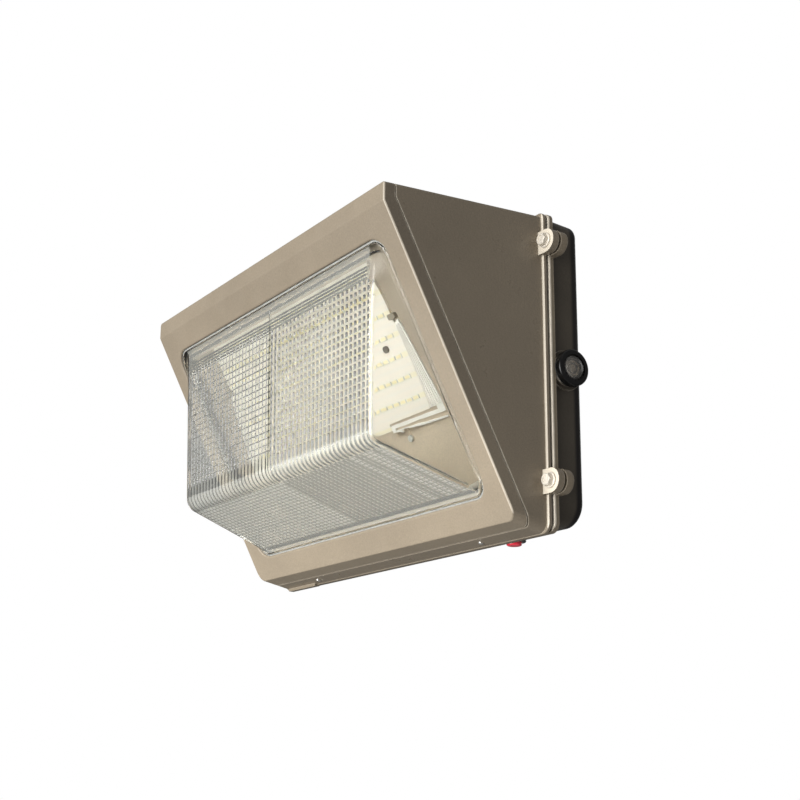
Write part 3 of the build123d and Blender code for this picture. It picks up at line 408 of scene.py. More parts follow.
def strip_mat():
    """White plastic, with the plate's paint over the tongue under the screw."""
    k = Mat("satin_white_strip")
    n = k.noise(40.0, 5.0, 0.6)
    f = k.mapr(n, "Fac", 0.3, 0.7)
    col = k.mix((f, "Result"), (0.91, 0.865, 0.79), (0.95, 0.905, 0.83))
    dot = k.add("ShaderNodeVectorMath", operation="DOT_PRODUCT")
    k.link(k.co, "Object", dot, 0)
    dot.inputs[1].default_value = (0.0, DY, DZ)
    down = k.math("ADD", (dot, "Value"), -(Y0 * DY + Z0 * DZ) * 0.001)
    a1 = k.mapr(down, "Value", 0.1503, 0.1506, 0.0, 1.0)
    xyz = k.sep()
    ax = k.math("ABSOLUTE", (xyz, "X"))
    a2 = k.mapr(ax, "Value", 0.0810, 0.0812, 0.0, 1.0)
    m = k.math("MULTIPLY", (a1, "Result"), (a2, "Result"))
    col = k.mix((m, "Value"), (col, "Color"), (0.70, 0.580, 0.440))
    k.link(col, "Color", k.b, "Base Color")
    g = k.noise(700.0, 3.0, 0.6)
    k.link(k.mapr(g, "Fac", 0.3, 0.7, 0.36, 0.48), "Result", k.b, "Roughness")
    k.link(k.bump(g, "Fac", 0.06, 0.0003), "Normal", k.b, "Normal")
    return k.m


def lens_mat():
    """Smoky clear plastic with a film of dust."""
    k = Mat("smoky_lens")
    n = k.noise(300.0, 4.0, 0.6)
    col = k.mix((k.mapr(n, "Fac", 0.3, 0.7), "Result"), (0.56, 0.53, 0.48), (0.66, 0.63, 0.58))
    k.link(col, "Color", k.b, "Base Color")
    k.link(k.mapr(k.noise(900.0, 3.0, 0.6), "Fac", 0.3, 0.7, 0.03, 0.10), "Result", k.b, "Roughness")
    k.link(k.bump(n, "Fac", 0.04, 0.0003), "Normal", k.b, "Normal")
    k.set(Transmission_Weight=0.92, IOR=1.49)
    return k.m


def sensor_mat():
    """Tan resin with two blackened rings round the light cell."""
    k = Mat("sensor_resin")
    n = k.noise(900.0, 4.0, 0.6)
    col = k.mix((k.mapr(n, "Fac", 0.3, 0.7), "Result"), (0.40, 0.345, 0.275), (0.50, 0.44, 0.36))
    xyz = k.sep()
    y = k.math("ADD", (xyz, "Y"), 0.0150)
    z = k.math("ADD", (xyz, "Z"), -0.0023)
    y2 = k.math("MULTIPLY", (y, "Value"), (y, "Value"))
    z2 = k.math("MULTIPLY", (z, "Value"), (z, "Value"))
    r = k.math("SQRT", (k.math("ADD", (y2, "Value"), (z2, "Value")), "Value"), 0.5)
    r_in = k.mapr(r, "Value", 0.0024, 0.0026, 0.0, 1.0)
    r_out = k.mapr(r, "Value", 0.0032, 0.0034, 1.0, 0.0)
    ring = k.math("MULTIPLY", (r_in, "Result"), (r_out, "Result"))
    edge = k.mapr(r, "Value", 0.0046, 0.0049, 0.0, 1.0)
    both = k.math("MAXIMUM", (ring, "Value"), (edge, "Result"))
    col = k.mix((both, "Value"), (col, "Color"), (0.012, 0.011, 0.010))
    k.link(col, "Color", k.b, "Base Color")
    k.link(k.mapr(n, "Fac", 0.3, 0.7, 0.18, 0.32), "Result", k.b, "Roughness")
    k.link(k.bump(both, "Value", 0.4, 0.0003), "Normal", k.b, "Normal")
    return k.m


def board_screw_mat():
    """Screw heads of the LED board: bright under the prisms, blackened at the right end."""
    k = Mat("board_screw_steel")
    n = k.noise(260.0, 5.0, 0.6)
    f = k.mapr(n, "Fac", 0.3, 0.7)
    bright = k.mix((f, "Result"), (0.80, 0.78, 0.73), (0.88, 0.86, 0.81))
    dark = k.mix((f, "Result"), (0.19, 0.162, 0.132), (0.24, 0.206, 0.168))
    end = k.mapr(k.sep(), "X", SCREW_X - 0.001, SCREW_X)
    col = k.mix((end, "Result"), (bright, "Color"), (dark, "Color"))
    k.link(col, "Color", k.b, "Base Color")
    k.link(k.mapr(n, "Fac", 0.25, 0.75, 0.36, 0.5), "Result", k.b, "Roughness")
    k.link(k.bump(n, "Fac", 0.1, 0.0003), "Normal", k.b, "Normal")
    k.set(Metallic=0.25)
    return k.m


SCREW_X = 0.080
m_strip = strip_mat()
m_red = plastic("gloss_red_plastic", (0.93, 0.03, 0.065), 0.2, 0.08, 0.02, 0.5, 900.0, 0.5)
m_sensor = sensor_mat()
m_lens = lens_mat()
m_wrap = plastic("shrink_wrap", (0.018, 0.045, 0.12), 0.22, 0.12, 0.05, 0.5, 300.0, 0.4)


# --------------------------------------------------------------------- LED board
def board_mask():
    """White solder mask with faint copper runs under it, parallel to the LED rows."""
    k = Mat("white_solder_mask")
    n = k.noise(30.0, 4.0)
    f = k.mapr(n, "Fac", 0.3, 0.7)
    col = k.mix((f, "Result"), (0.935, 0.852, 0.730), (0.96, 0.876, 0.757))
    dot = k.add("ShaderNodeVectorMath", operation="DOT_PRODUCT")
    k.link(k.co, "Object", dot, 0)
    dot.inputs[1].default_value = (0.0, DY, DZ)
    off = k.math("ADD", (dot, "Value"), 0.1614 - 0.0365)
    per = k.math("PINGPONG", (off, "Value"), 0.00775)
    run = k.mapr(per, "Value", 0.0030, 0.0034, 1.0, 0.0)
    run2 = k.mapr(per, "Value", 0.0066, 0.0069, 0.0, 1.0)
    xyz = k.sep()
    px = k.math("PINGPONG", (xyz, "X"), 0.0082)
    gap = k.mapr(px, "Value", 0.0004, 0.0007, 0.0, 1.0)
    cu = k.math("MULTIPLY", (run, "Result"), (gap, "Result"))
    both = k.math("MAXIMUM", (cu, "Value"), (run2, "Result"))
    amt = k.math("MULTIPLY", (both, "Value"), 0.35)
    col = k.mix((amt, "Value"), (col, "Color"), (0.88, 0.85, 0.78))
    glow = k.mapr(per, "Value", 0.0013, 0.0024, 0.55, 0.0, True)
    col = k.mix((glow, "Result"), (col, "Color"), (0.955, 0.845, 0.56))
    k.link(col, "Color", k.b, "Base Color")
    k.link(k.mapr(k.noise(300.0), "Fac", 0.3, 0.7, 0.3, 0.42), "Result", k.b, "Roughness")
    b = k.bump(both, "Value", 0.25, 0.00004)
    k.link(b, "Normal", k.b, "Normal")
    return k.m


m_board = board_mask()


def phosphor():
    k = Mat("led_phosphor_resin")
    n = k.noise(2600.0, 4.0, 0.7)
    f = k.mapr(n, "Fac", 0.3, 0.7)
    col = k.mix((f, "Result"), (0.96, 0.82, 0.49), (0.98, 0.875, 0.60))
    k.link(col, "Color", k.b, "Base Color")
    k.link(k.mapr(n, "Fac", 0.3, 0.7, 0.25, 0.4), "Result", k.b, "Roughness")
    b = k.bump(n, "Fac", 0.1, 0.0001)
    k.link(b, "Normal", k.b, "Normal")
    return k.m


m_phos = phosphor()


# ------------------------------------------------------------------------- glass
def glass_mat(name="pressed_glass", grime_and_shade=1.0, frost=0.0, tone=(1.0, 1.0, 1.0), gloss=1.0):
    k = Mat(name)
    k.set(Transmission_Weight=1.0 - 0.5 * frost, IOR=1.5, Specular_Tint=(gloss, gloss, gloss, 1.0))
    n = k.noise(55.0, 3.0, 0.5)
    smear = k.mapr(k.noise(160.0, 5.0, 0.7), "Fac", 0.45, 0.8, 0.0, 0.05)
    dot = k.add("ShaderNodeVectorMath", operation="DOT_PRODUCT")
    k.link(k.co, "Object", dot, 0)
    y_c, z_c = sp(204.0)
    y_b, z_b = sp(26.35)[0] + 3.4, -59.8
    l_ = math.hypot(y_c - y_b, z_c - z_b)
    wy, wz = (z_c - z_b) / l_, -(y_c - y_b) / l_       # outward from the lower face
    dot.inputs[1].default_value = (0.0, wy, wz)
    c_ = (y_b * wy + z_b * wz) * 0.001
    low = k.mapr(dot, "Value", c_ - 0.0062, c_ - 0.0050, 0.0, 0.13 + 0.12 * frost, True)
    rg = k.math("MAXIMUM", (smear, "Result"), (low, "Result"))
    k.link(rg, "Value", k.b, "Roughness")
    tint = k.mapr(n, "Fac", 0.3, 0.7)
    # a low value of the second argument darkens the glass tint: painted shade in the flutes, grooves, stripes and ribs
    col = k.mix((tint, "Result"), tuple(v * grime_and_shade * q for v, q in zip((0.955, 0.98, 0.965), tone)),
                tuple(v * grime_and_shade * q for v, q in zip((0.975, 0.99, 0.98), tone)))
    k.link(col, "Color", k.b, "Base Color")
    b = k.bump(n, "Fac", 0.05, 0.002)
    k.link(b, "Normal", k.b, "Normal")
    return k.m


m_glass = glass_mat()
m_groove = glass_mat("pressed_glass_painted_shade_scallop", 0.055)     # glass tinted dark in the scallops as painted shade
m_line = glass_mat("pressed_glass_painted_shade_line", 0.30)
WARM = (1.0, 0.985, 0.925)
m_frost = glass_mat("pressed_glass_lower_face", 1.0, 0.90, WARM, 0.5)       # fine grain of the lower face
m_rib = glass_mat("pressed_glass_lower_rib", 0.62, 0.74, WARM)
m_head = glass_mat("pressed_glass_head", 1.0, 0.28, WARM)              # thin film of dust on the head and the left
m_haze = glass_mat("pressed_glass_left", 1.0, 0.25, WARM)
m_prism = glass_mat("pressed_glass_prisms", 0.72, 0.32, WARM)
m_upright = glass_mat("pressed_glass_painted_shade_upright", 0.10)
m_foot = glass_mat("pressed_glass_foot", 0.75, 0.55, WARM, 0.15)
m_pane = glass_mat("pressed_glass_pane", gloss=0.25)                   # plain end panes
m_stripe = glass_mat("pressed_glass_painted_shade_stripe", 0.16)
m_bend = glass_mat("pressed_glass_bend", 0.97, 0.50, WARM, 0.6)         # dust on the bend below the front face
m_bend_line = glass_mat("pressed_glass_bend_line", 0.50, 0.50, WARM, 0.6)


# -------------------------------------------------------------------- glass mesh
T = 4.0
HALVES = (146.3, 142.0, 153.0, 157.0)
B_YZ = (sp(26.35)[0] + 3.4, -59.8)
SB, OB = so_of(*B_YZ)
SA, SC = 26.35, 204.0


def rounded(pts, tans, step=0.06):
    """Polyline with its corners turned into arcs of the given tangent lengths, as
    dense points, with the arc-length at which each corner's arc starts and ends."""
    out, marks = [np.array(pts[0], float)], []
    for i in range(1, len(pts) - 1):
        q = np.array(pts[i], float)
        u = q - np.array(pts[i - 1], float)
        v = np.array(pts[i + 1], float) - q
        u, v = u / np.linalg.norm(u), v / np.linalg.norm(v)
        t = tans[i - 1]
        th = math.acos(max(-1, min(1, float(u @ v))))
        r = t / math.tan(th / 2)
        side = np.sign(u[0] * v[1] - u[1] * v[0])
        nrm = np.array([-u[1], u[0]]) * side
        c = q - u * t + nrm * r
        n = 24
        arc = []
        for k in range(n + 1):
            a = side * th * k / n
            w = q - u * t - c
            arc.append(c + np.array([w[0] * math.cos(a) - w[1] * math.sin(a), w[0] * math.sin(a) + w[1] * math.cos(a)]))
        marks.append((len(out), len(out) + n))
        out += arc
    out.append(np.array(pts[-1], float))
    p = np.array(out)
    ln = np.concatenate([[0], np.cumsum(np.linalg.norm(np.diff(p, axis=0), axis=1))])
    return p, ln, [(ln[a], ln[b]) for a, b in marks]


def path_at(p, ln, t):
    """Point and outward normal of the path at arc-length t (array)."""
    t = np.asarray(t, float)
    s = np.interp(t, ln, p[:, 0])
    o = np.interp(t, ln, p[:, 1])
    e = 0.35
    ds = np.interp(np.minimum(t + e, ln[-1]), ln, p[:, 0]) - np.interp(np.maximum(t - e, 0), ln, p[:, 0])
    do = np.interp(np.minimum(t + e, ln[-1]), ln, p[:, 1]) - np.interp(np.maximum(t - e, 0), ln, p[:, 1])
    l = np.hypot(ds, do)
    return s, o, -do / l, ds / l


def pad(a, n):
    """Adds midpoints to the largest gaps until the list has n values."""
    a = list(a)
    while len(a) < n:
        g = np.diff(a)
        i = int(np.argmax(g))
        a.insert(i + 1, (a[i] + a[i + 1]) / 2)
    return np.array(a)


def uniq(a, tol=0.04):
    a = sorted(a)
    out = [a[0]]
    for v in a[1:]:
        if v - out[-1] > tol:
            out.append(v)
    return out


def smooth01(v):
    v = np.clip(v, 0, 1)
    return v * v * (3 - 2 * v)


def glass_piece():
    # outer and inner section, down the middle
    ka = (SA - 0.6 * (SB - SA) / OB, -0.6)
    kc = (SC + 0.6 * (SC - SB) / OB, -0.6)
    po, lo_, mo = rounded([(22.0, -0.6), ka, (SB, OB), kc, (207.2, -0.6)], [1.6, 7.7, 2.2])
    # the inner faces lie T behind the outer ones
    y_b, z_b = B_YZ
    y_c, z_c = sp(SC)
    an = math.atan2(z_c - y_b * 0 - z_b, y_c - y_b)
    ny_b, nz_b = -math.sin(an), math.cos(an)
    pc = (y_c + ny_b * T, z_c + nz_b * T)
    pb0 = (y_b + ny_b * T, z_b + nz_b * T)
    tt = (y_b + T - pb0[0]) / (pc[0] - pb0[0])
    pb = (y_b + T, pb0[1] + tt * (pc[1] - pb0[1]))
    pa = (sp(SA)[0] + T, sp(SA)[1])
    ia, ib, ic = so_of(*pa), so_of(*pb), so_of(*pc)
    pi_, li, mi = rounded([(ia[0] - 1.0, -9.1), (ia[0] + 0.2, ia[1]), ib, (ic[0] - 0.2, ic[1]), (ic[0] + 1.2, -9.1)],
                          [2.0, 5.0, 2.0])

    # ---- rows
    P_V = 5.1                            # pitch of the rows on the front face
    N_ST = 2                             # pitches taken by plain horizontal prisms at the head, two on each
    f0, f1 = mo[0][1], mo[1][0]          # front face
    a1 = mo[1][1]                        # end of the lower arc
    g0, g1 = a1 + 2.4, mo[2][0] - 1.5    # ribbed part of the lower face
    P_RIB = 3.7
    d0 = f0 + 7.0 + 2.0 * P_V            # first row of scallops
    n_d = int((f1 - 7.0 - d0) / P_V)
    d1 = d0 + n_d * P_V                  # below this the flutes run on unbroken

    def dot_len(r):
        """Share of the pitch that scallop r takes."""
        return 0.62 + 0.24 * (r / max(n_d - 1, 1)) ** 1.3

    rows_o = [0.0, 0.8, 1.4] + list(np.linspace(mo[0][0], f0, 6))
    rows_o += [f0 + 2.0, f0 + 5.0, f0 + 9.0, d0 - 5.0]
    for r in range(n_d):
        for q in (0.0, 0.05, 0.5 * dot_len(r), dot_len(r) - 0.05, dot_len(r)):
            rows_o.append(d0 + (r + q) * P_V)
    rows_o += [d1, d1 + 0.4] + list(np.linspace(d1 + 2.0, f1, 4))
    rows_o += list(np.linspace(f1, a1, 15)) + [a1 + 1.6, a1 + 2.2]
    n_rib = int((g1 - g0) / P_RIB)
    g1 = g0 + n_rib * P_RIB
    for r in range(n_rib + 1):
        for q in (0.0, 0.16, 0.5, 0.84):
            if r < n_rib or q == 0.0:
                rows_o.append(g0 + (r + q) * P_RIB)
    rows_o += list(np.linspace(mo[2][0], mo[2][1], 6)) + [mo[2][1] + 0.3, lo_[-1]]
    rows_o = uniq(rows_o)

    h0 = mi[0][1] + 4.5
    n_h = int((mi[1][0] - 6.0 - h0) / P_V)
    h1 = h0 + n_h * P_V
    rows_i = list(np.linspace(0, mi[0][0], 3)) + list(np.linspace(mi[0][0], mi[0][1], 5))
    for r in range(n_h + 1):
        for q in ((0.0, 0.16, 0.32, 0.35, 0.42, 0.5, 0.66, 0.82, 0.85, 0.92) if r < N_ST else (0.0, 0.09, 0.18, 0.23, 0.42, 0.61, 0.80)):
            if r < n_h or q == 0.0:
                rows_i.append(h0 + (r + q) * P_V)
    rows_i += list(np.linspace(h1, mi[1][0], 5)) + list(np.linspace(mi[1][0], mi[1][1], 10))
    rows_i += list(np.linspace(mi[1][1], mi[2][0], 14)) + list(np.linspace(mi[2][0], mi[2][1], 5)) + [li[-1]]
    rows_i = uniq(rows_i)
    n_s = max(len(rows_o), len(rows_i))
    rows_o, rows_i = pad(rows_o, n_s), pad(rows_i, n_s)

    # ---- columns of the front and lower faces, -1..1
    n_f = 25
    cols_o = [-1.0, 0.0, 1.0, -0.0045, 0.0045]
    for r in range(n_f):
        for q in (0.0, 0.30, 0.56, 0.72, 0.84, 0.91, 0.965, 0.99):
            cols_o += [(r + q) / n_f, -(r + q) / n_f]
    cols_o = uniq(cols_o, 0.001)
    n_b = 77
    cols_i = [-1.0 + 2.0 * (r + q) / n_b for r in range(n_b) for q in (0.0, 0.25, 0.5, 0.75)] + [1.0]
    cols_i = uniq(cols_i, 0.0005)
    n_c = max(len(cols_o), len(cols_i))
    cols_o, cols_i = pad(cols_o, n_c), pad(cols_i, n_c)

    def half_front(s):
        """Half width of the front and lower faces at s."""
        return np.interp(s, [SA - 6, SA, SB, SC, SC + 6],
                         [HALVES[0], HALVES[0], HALVES[1], HALVES[2], HALVES[2]])

    def rect_half(s, half, s0, s1, r):
        d = np.minimum(s - s0, s1 - s)
        d = np.clip(d, 0, r)
        return half - (r - np.sqrt(np.maximum(r * r - (r - d) ** 2, 0)))

    def side_cols(x_foot, x_top, o_foot, o_top, x_rim, o_rim, n_pane):
        """Points from the rim up the pane to the start of the front, for one row: lists of (x, o)."""
        f = np.array([x_foot, o_foot])
        q = np.array([x_top, o_top])
        r = np.array([x_rim, o_rim])
        w = q - f
        lw = np.linalg.norm(w)
        u = w / lw
        t1 = min(2.6, 0.3 * lw, 0.85 * max(np.linalg.norm(f - r), 0.01))
        t2 = min(2.4, 0.3 * lw)
        pts = [r]
        a0, a1_ = f + (r - f) / max(np.linalg.norm(r - f), 1e-9) * t1, f + u * t1
        for k in range(5):
            z = k / 4
            pts.append((1 - z) ** 2 * a0 + 2 * z * (1 - z) * f + z * z * a1_)
        b0, b1 = q - u * t2, q + np.array([-t2, 0.0])
        for k in range(1, n_pane):
            pts.append(a1_ + (b0 - a1_) * k / n_pane)
        for k in range(5):
            z = k / 4
            pts.append((1 - z) ** 2 * b0 + 2 * z * (1 - z) * q + z * z * b1)
        return pts

    # ---- outer surface
    so, oo, ns, no = path_at(po, lo_, rows_o)
    n_side = 1 + 5 + 5 + 5
    n_x = 2 * n_side + n_c
    outer = np.zeros((n_s, n_x, 3))
    cut_o, rib_o = np.zeros((n_s, n_c)), np.zeros((n_s, n_c))      # how deep each point lies in a flute
    cut_i, rib_i, head_i = np.zeros((n_s, n_c)), np.zeros((n_s, n_c)), np.zeros(n_s)
    len_o = np.zeros((n_s, n_c))
    for j in range(n_s):
        s, o = so[j], oo[j]
        hw = half_front(s)
        rim = rect_half(s, 160.0, 20.5, 208.5, 12.8) - 2.2
        foot = rim - 1.6
        if o < -0.55:
            hw_j = min(hw, foot - 2.0)
        else:
            hw_j = min(hw, foot - 1.0)
        side = side_cols(foot, hw_j, -0.6, o, rim, -0.6, 6)
        x_edge = hw_j - min(2.4, 0.3 * math.hypot(foot - hw_j, o + 0.6))
        x_in = x_edge * cols_o * 0.999
        t = rows_o[j]
        # vertical flutes on the front face and round the lower edge: on the right
        # half scallops whose faces look to the right, on the left half fine grooves
        c = np.abs(cols_o) * n_f
        ph = c - np.floor(c + 1e-9)
        right = cols_o > 0
        pitch = x_edge / n_f
        last = 1.0 - smooth01((t - (a1 + 1.6)) / 0.6)
        low = smooth01((t - (d1 - 2.0)) / 4.0)
        if t < d0 - 1e-6:
            gate = 0.0
        elif t <= d1 + 1e-6:
            r = min(int((t - d0) / P_V + 1e-6), n_d - 1)
            q = (t - d0) / P_V - r
            gate = min(1.0, max(0.0, min(q / 0.05, (dot_len(r) - q) / 0.05)))
        else:
            gate = smooth01((t - d1) / 0.4)
        # the two flutes beside the seam run unbroken
        gate = np.where(c < 2.0, float(smooth01((t - d0) / 0.4)), gate)
        fac = np.where(ph < 0.56, 0.0, np.where(ph <= 0.965 + 1e-6, (ph - 0.56) / 0.405,
                                                np.maximum(0.0, (0.99 - ph) / 0.025)))
        fac = np.clip(fac, 0, 1)
        dep_r = math.tan(math.radians(36.0)) * 0.405 * pitch
        vee = np.where(ph < 0.56, 0.0, np.where(ph <= 0.72 + 1e-6, (ph - 0.56) / 0.16,
                                                np.maximum(0.0, (0.84 - ph) / 0.12)))
        vee = np.clip(vee, 0, 1)
        top = smooth01((t - (f0 + 12.0)) / 6.0)
        dep_l = 0.46 * top + 0.44 * low
        d = -last * np.where(right, dep_r * fac * gate, dep_l * vee)
        d = d * smooth01((1.0 - np.abs(cols_o)) * n_f / 0.4)
        cut_o[j] = np.where(right, -d / dep_r, -d / 0.9)
        wav = 0.22 * math.sin(2 * math.pi * (t - d0) / P_V) if d0 < t < d1 else 0.0
        x_in = x_in + np.where(right & (ph > 0.1) & (cols_o < 0.98), wav, 0.0)
        # middle seam
        wm = smooth01((t - (f0 + 1.0)) / 2.0) * (1.0 - smooth01((t - (g1 + 0.5)) / 1.5))
        d = d - wm * 0.9 * np.clip(1.0 - np.abs(cols_o) / 0.0045, 0, 1)
        # ribs across the lower face
        if g0 - 1e-6 <= t <= g1 + 1e-6:
            q = (t - g0) / P_RIB
            q = q - math.floor(q + 1e-6)
            rib = -0.42 if q < 0.02 or q > 0.98 else (-0.12 if (q < 0.2 or q > 0.8) else 0.0)
            d = d + rib * smooth01((1.0 - np.abs(cols_o)) / 0.02)
            along = ((ph > 0.29) & (ph < 0.57)) | ((ph > 0.83) & (ph < 0.995))
            d = d - 0.2 * (((ph > 0.29) & (ph < 0.57)) | ((ph > 0.90) & (ph < 0.97))) * smooth01((1.0 - np.abs(cols_o)) / 0.02)
            rib_o[j] = 1.0 if rib < -0.3 else 0.0
            len_o[j] = along
        sx = s + ns[j] * d
        ox = o + no[j] * d
        for k, q in enumerate(side):
            outer[j, k] = (-q[0], s, q[1])
            outer[j, n_x - 1 - k] = (q[0], s, q[1])
        outer[j, n_side:n_side + n_c, 0] = x_in
        outer[j, n_side:n_side + n_c, 1] = sx
        outer[j, n_side:n_side + n_c, 2] = ox

    # ---- inner surface
    si, oi, ns, no = path_at(pi_, li, rows_i)
    inner = np.zeros((n_s, n_x, 3))
    b_lo, b_hi = mi[1][1] + 3.0, mi[2][0] - 3.0
    for j in range(n_s):
        s, o = si[j], oi[j]
        hw = half_front(s) - 4.6
        base = rect_half(s, 152.4, pi_[0, 0] - 0.02, pi_[-1, 0] + 0.02, 8.0)
        hw_j = min(hw, base - 1.2)
        r_ = np.array([base, -9.1])
        q_ = np.array([hw_j, o])
        lw = np.linalg.norm(q_ - r_)
        u = (q_ - r_) / lw
        t2 = min(2.0, 0.3 * lw)
        side = [r_ + (q_ - u * t2 - r_) * k / 11 for k in range(11)]
        b0, b1 = q_ - u * t2, q_ + np.array([-t2, 0.0])
        for k in range(5):
            z = k / 4
            side.append((1 - z) ** 2 * b0 + 2 * z * (1 - z) * q_ + z * z * b1)
        x_in = (hw_j - t2) * cols_i * 0.999
        t = rows_i[j]
        d = np.zeros(n_c)
        if h0 - 1e-6 <= t <= h1 + 1e-6:
            r = min(int((t - h0) / P_V + 1e-6), n_h)
            q = (t - h0) / P_V - r
            end = smooth01((1.0 - np.abs(cols_i)) / 0.012)
            if r < N_ST:
                q = 2.0 * q - math.floor(2.0 * q + 1e-6)
                saw = 0.62 * (q / 0.64 if q <= 0.6401 else max(0.0, (0.70 - q) / 0.06))
                d = d + saw * end
                cut_i[j] = saw * end
                head_i[j] = 1.0
            else:
                cut = 0.40 * (q / 0.18 if q <= 0.1801 else max(0.0, (0.23 - q) / 0.05))
                bulge = -0.05 * (1 - (2 * (q - 0.23) / 0.77 - 1) ** 2) if q > 0.23 else 0.0
                lens = -0.16 * (1 - (2 * q - 1) ** 2)
                d = d + np.where(cols_i > 0.001, lens, cut + bulge) * end
                cut_i[j] = np.where(cols_i > 0.001, 0.0, cut) * end
        wb = smooth01((t - b_lo) / 2.5) * (1.0 - smooth01((t - b_hi) / 2.5))
        if wb > 0:
            c = (cols_i + 1) * n_b / 2
            ph = c - np.floor(c + 1e-9)
            d = d + wb * 0.34 * (np.abs(2 * ph - 1) - 0.4) * smooth01((1.0 - np.abs(cols_i)) / 0.02)
            rib_i[j] = wb * (np.abs(2 * ph - 1) > 0.9)
        for k, q in enumerate(side):
            inner[j, k] = (-q[0], s, q[1])
            inner[j, n_x - 1 - k] = (q[0], s, q[1])
        inner[j, n_side:n_side + n_c, 0] = x_in
        inner[j, n_side:n_side + n_c, 1] = s + ns[j] * d
        inner[j, n_side:n_side + n_c, 2] = o + no[j] * d

    # ---- rim: plug and flange
    loop = [(0, i) for i in range(n_x)] + [(j, n_x - 1) for j in range(1, n_s)]
    loop += [(n_s - 1, i) for i in range(n_x - 2, -1, -1)] + [(j, 0) for j in range(n_s - 2, 0, -1)]
    nl = len(loop)

    def on_outline(x, s, grow):
        cx, cy, r = 160.0 - 12.8, 94.0 - 12.8, 12.8 + grow
        px, ps = abs(x), abs(s - 114.5)
        gx, gs = 1.0 if x >= 0 else -1.0, 1.0 if s >= 114.5 else -1.0
        if px > cx and ps > cy:
            w = math.hypot(px - cx, ps - cy)
            return gx * (cx + (px - cx) / w * r), 114.5 + gs * (cy + (ps - cy) / w * r)
        if ps > cy:
            return x, 114.5 + gs * (cy + r)
        return gx * (cx + r), s

    rings = []
    for grow, o in ((-1.2, -0.6), (-0.35, -0.95), (0.0, -1.8), (0.0, -5.1), (5.0, -5.1), (5.0, -9.1)):
        ring = []
        for j, i in loop:
            x, s, _ = outer[j, i]
            xx, ss = on_outline(x, s, grow)
            ring.append((xx, ss, o))
        rings.append(ring)

    verts = [world(*v) for v in outer.reshape(-1, 3)]
    off_i = len(verts)
    verts += [world(*v) for v in inner.reshape(-1, 3)]
    off_r = len(verts)
    for ring in rings:
        verts += [world(*v) for v in ring]
    faces, finish_index = [], []

    def worst(g, j, i):
        return max(g[j, i], g[j, i + 1], g[j + 1, i], g[j + 1, i + 1])

    def both(g, j, i):
        """Deep along both rows of the cell."""
        return min(max(g[j, i], g[j, i + 1]), max(g[j + 1, i], g[j + 1, i + 1]))

    for j in range(n_s - 1):
        for i in range(n_x - 1):
            a, b = j * n_x + i, j * n_x + i + 1
            c, d = (j + 1) * n_x + i + 1, (j + 1) * n_x + i
            faces.append((a, b, c, d))
            k = i - n_side
            inside = 0 <= k < n_c - 1
            so_, si_ = 0, 0
            if inside:
                if cols_o[k] >= 0:
                    so_ = 1 if both(cut_o, j, k) > 0.15 else 0
                else:
                    so_ = 9 if both(cut_o, j, k) > 0.15 else 0
                if max(abs(cols_o[k]), abs(cols_o[k + 1])) < 0.0046 and f0 + 12.0 < rows_o[j] < a1:
                    so_ = 9
                if so_ == 0 and rows_o[j] < d0 - 0.1:
                    so_ = 5 if rows_o[j] < f0 + 3.0 else 7
                elif so_ == 0 and cols_o[k] < 0 and rows_o[j] < a1 + 2.0:
                    so_ = 6
                if f1 - 0.2 < rows_o[j] < a1 + 2.0:
                    so_ = 13 if so_ in (1, 9) else 12
                if a1 + 2.0 < rows_o[j] < mo[2][1]:
                    so_ = 4 if worst(rib_o, j, k) > 0.5 or min(len_o[j, k], len_o[j, k + 1]) > 0.5 else 3
                    if rows_o[j] > g1 - 0.01:
                        so_ = 11
                if worst(cut_i, j, k) > (0.4 if head_i[j] > 0.5 else 0.2) and cut_i[j + 1, k] > cut_i[j, k] - 0.01:
                    si_ = 8 if head_i[j] > 0.5 else 2
                if worst(rib_i, j, k) > 0.5:
                    si_ = 4
            elif g1 < rows_o[j] < mo[2][1]:
                so_, si_ = 11, 3
            elif min(i, n_x - 2 - i) < n_side - 5:
                so_ = si_ = 10
            finish_index.append(so_)
            faces.append((off_i + d, off_i + c, off_i + b, off_i + a))
            finish_index.append(si_)
    lo_idx = [j * n_x + i for j, i in loop]
    chain = [lo_idx] + [[off_r + r * nl + k for k in range(nl)] for r in range(len(rings))] + [[off_i + v for v in lo_idx]]
    for p, q in zip(chain[:-1], chain[1:]):
        for k in range(nl):
            k2 = (k + 1) % nl
            faces.append((p[k2], p[k], q[k], q[k2]))
            finish_index.append(0)
    me = bpy.data.meshes.new("prismatic_refractor")
    me.from_pydata(verts, [], faces)
    for m in (m_glass, m_groove, m_line, m_frost, m_rib, m_head, m_haze, m_prism, m_stripe, m_upright, m_pane, m_foot,
              m_bend, m_bend_line):
        me.materials.append(m)
    me.polygons.foreach_set("material_index", finish_index)
    me.validate()
    bm = bmesh.new()
    bm.from_mesh(me)
    bmesh.ops.recalc_face_normals(bm, faces=bm.faces)
    bm.to_mesh(me)
    bm.free()
    me.shade_smooth()
    me.set_sharp_from_angle(angle=math.radians(17.0))
    ob = bpy.data.objects.new("prismatic_refractor", me)
    scene.collection.objects.link(ob)
    print("glass grid", n_s, n_x, "verts", len(verts))
    return ob


glass = glass_piece()
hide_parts("glass_refractor")
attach(glass, "door")


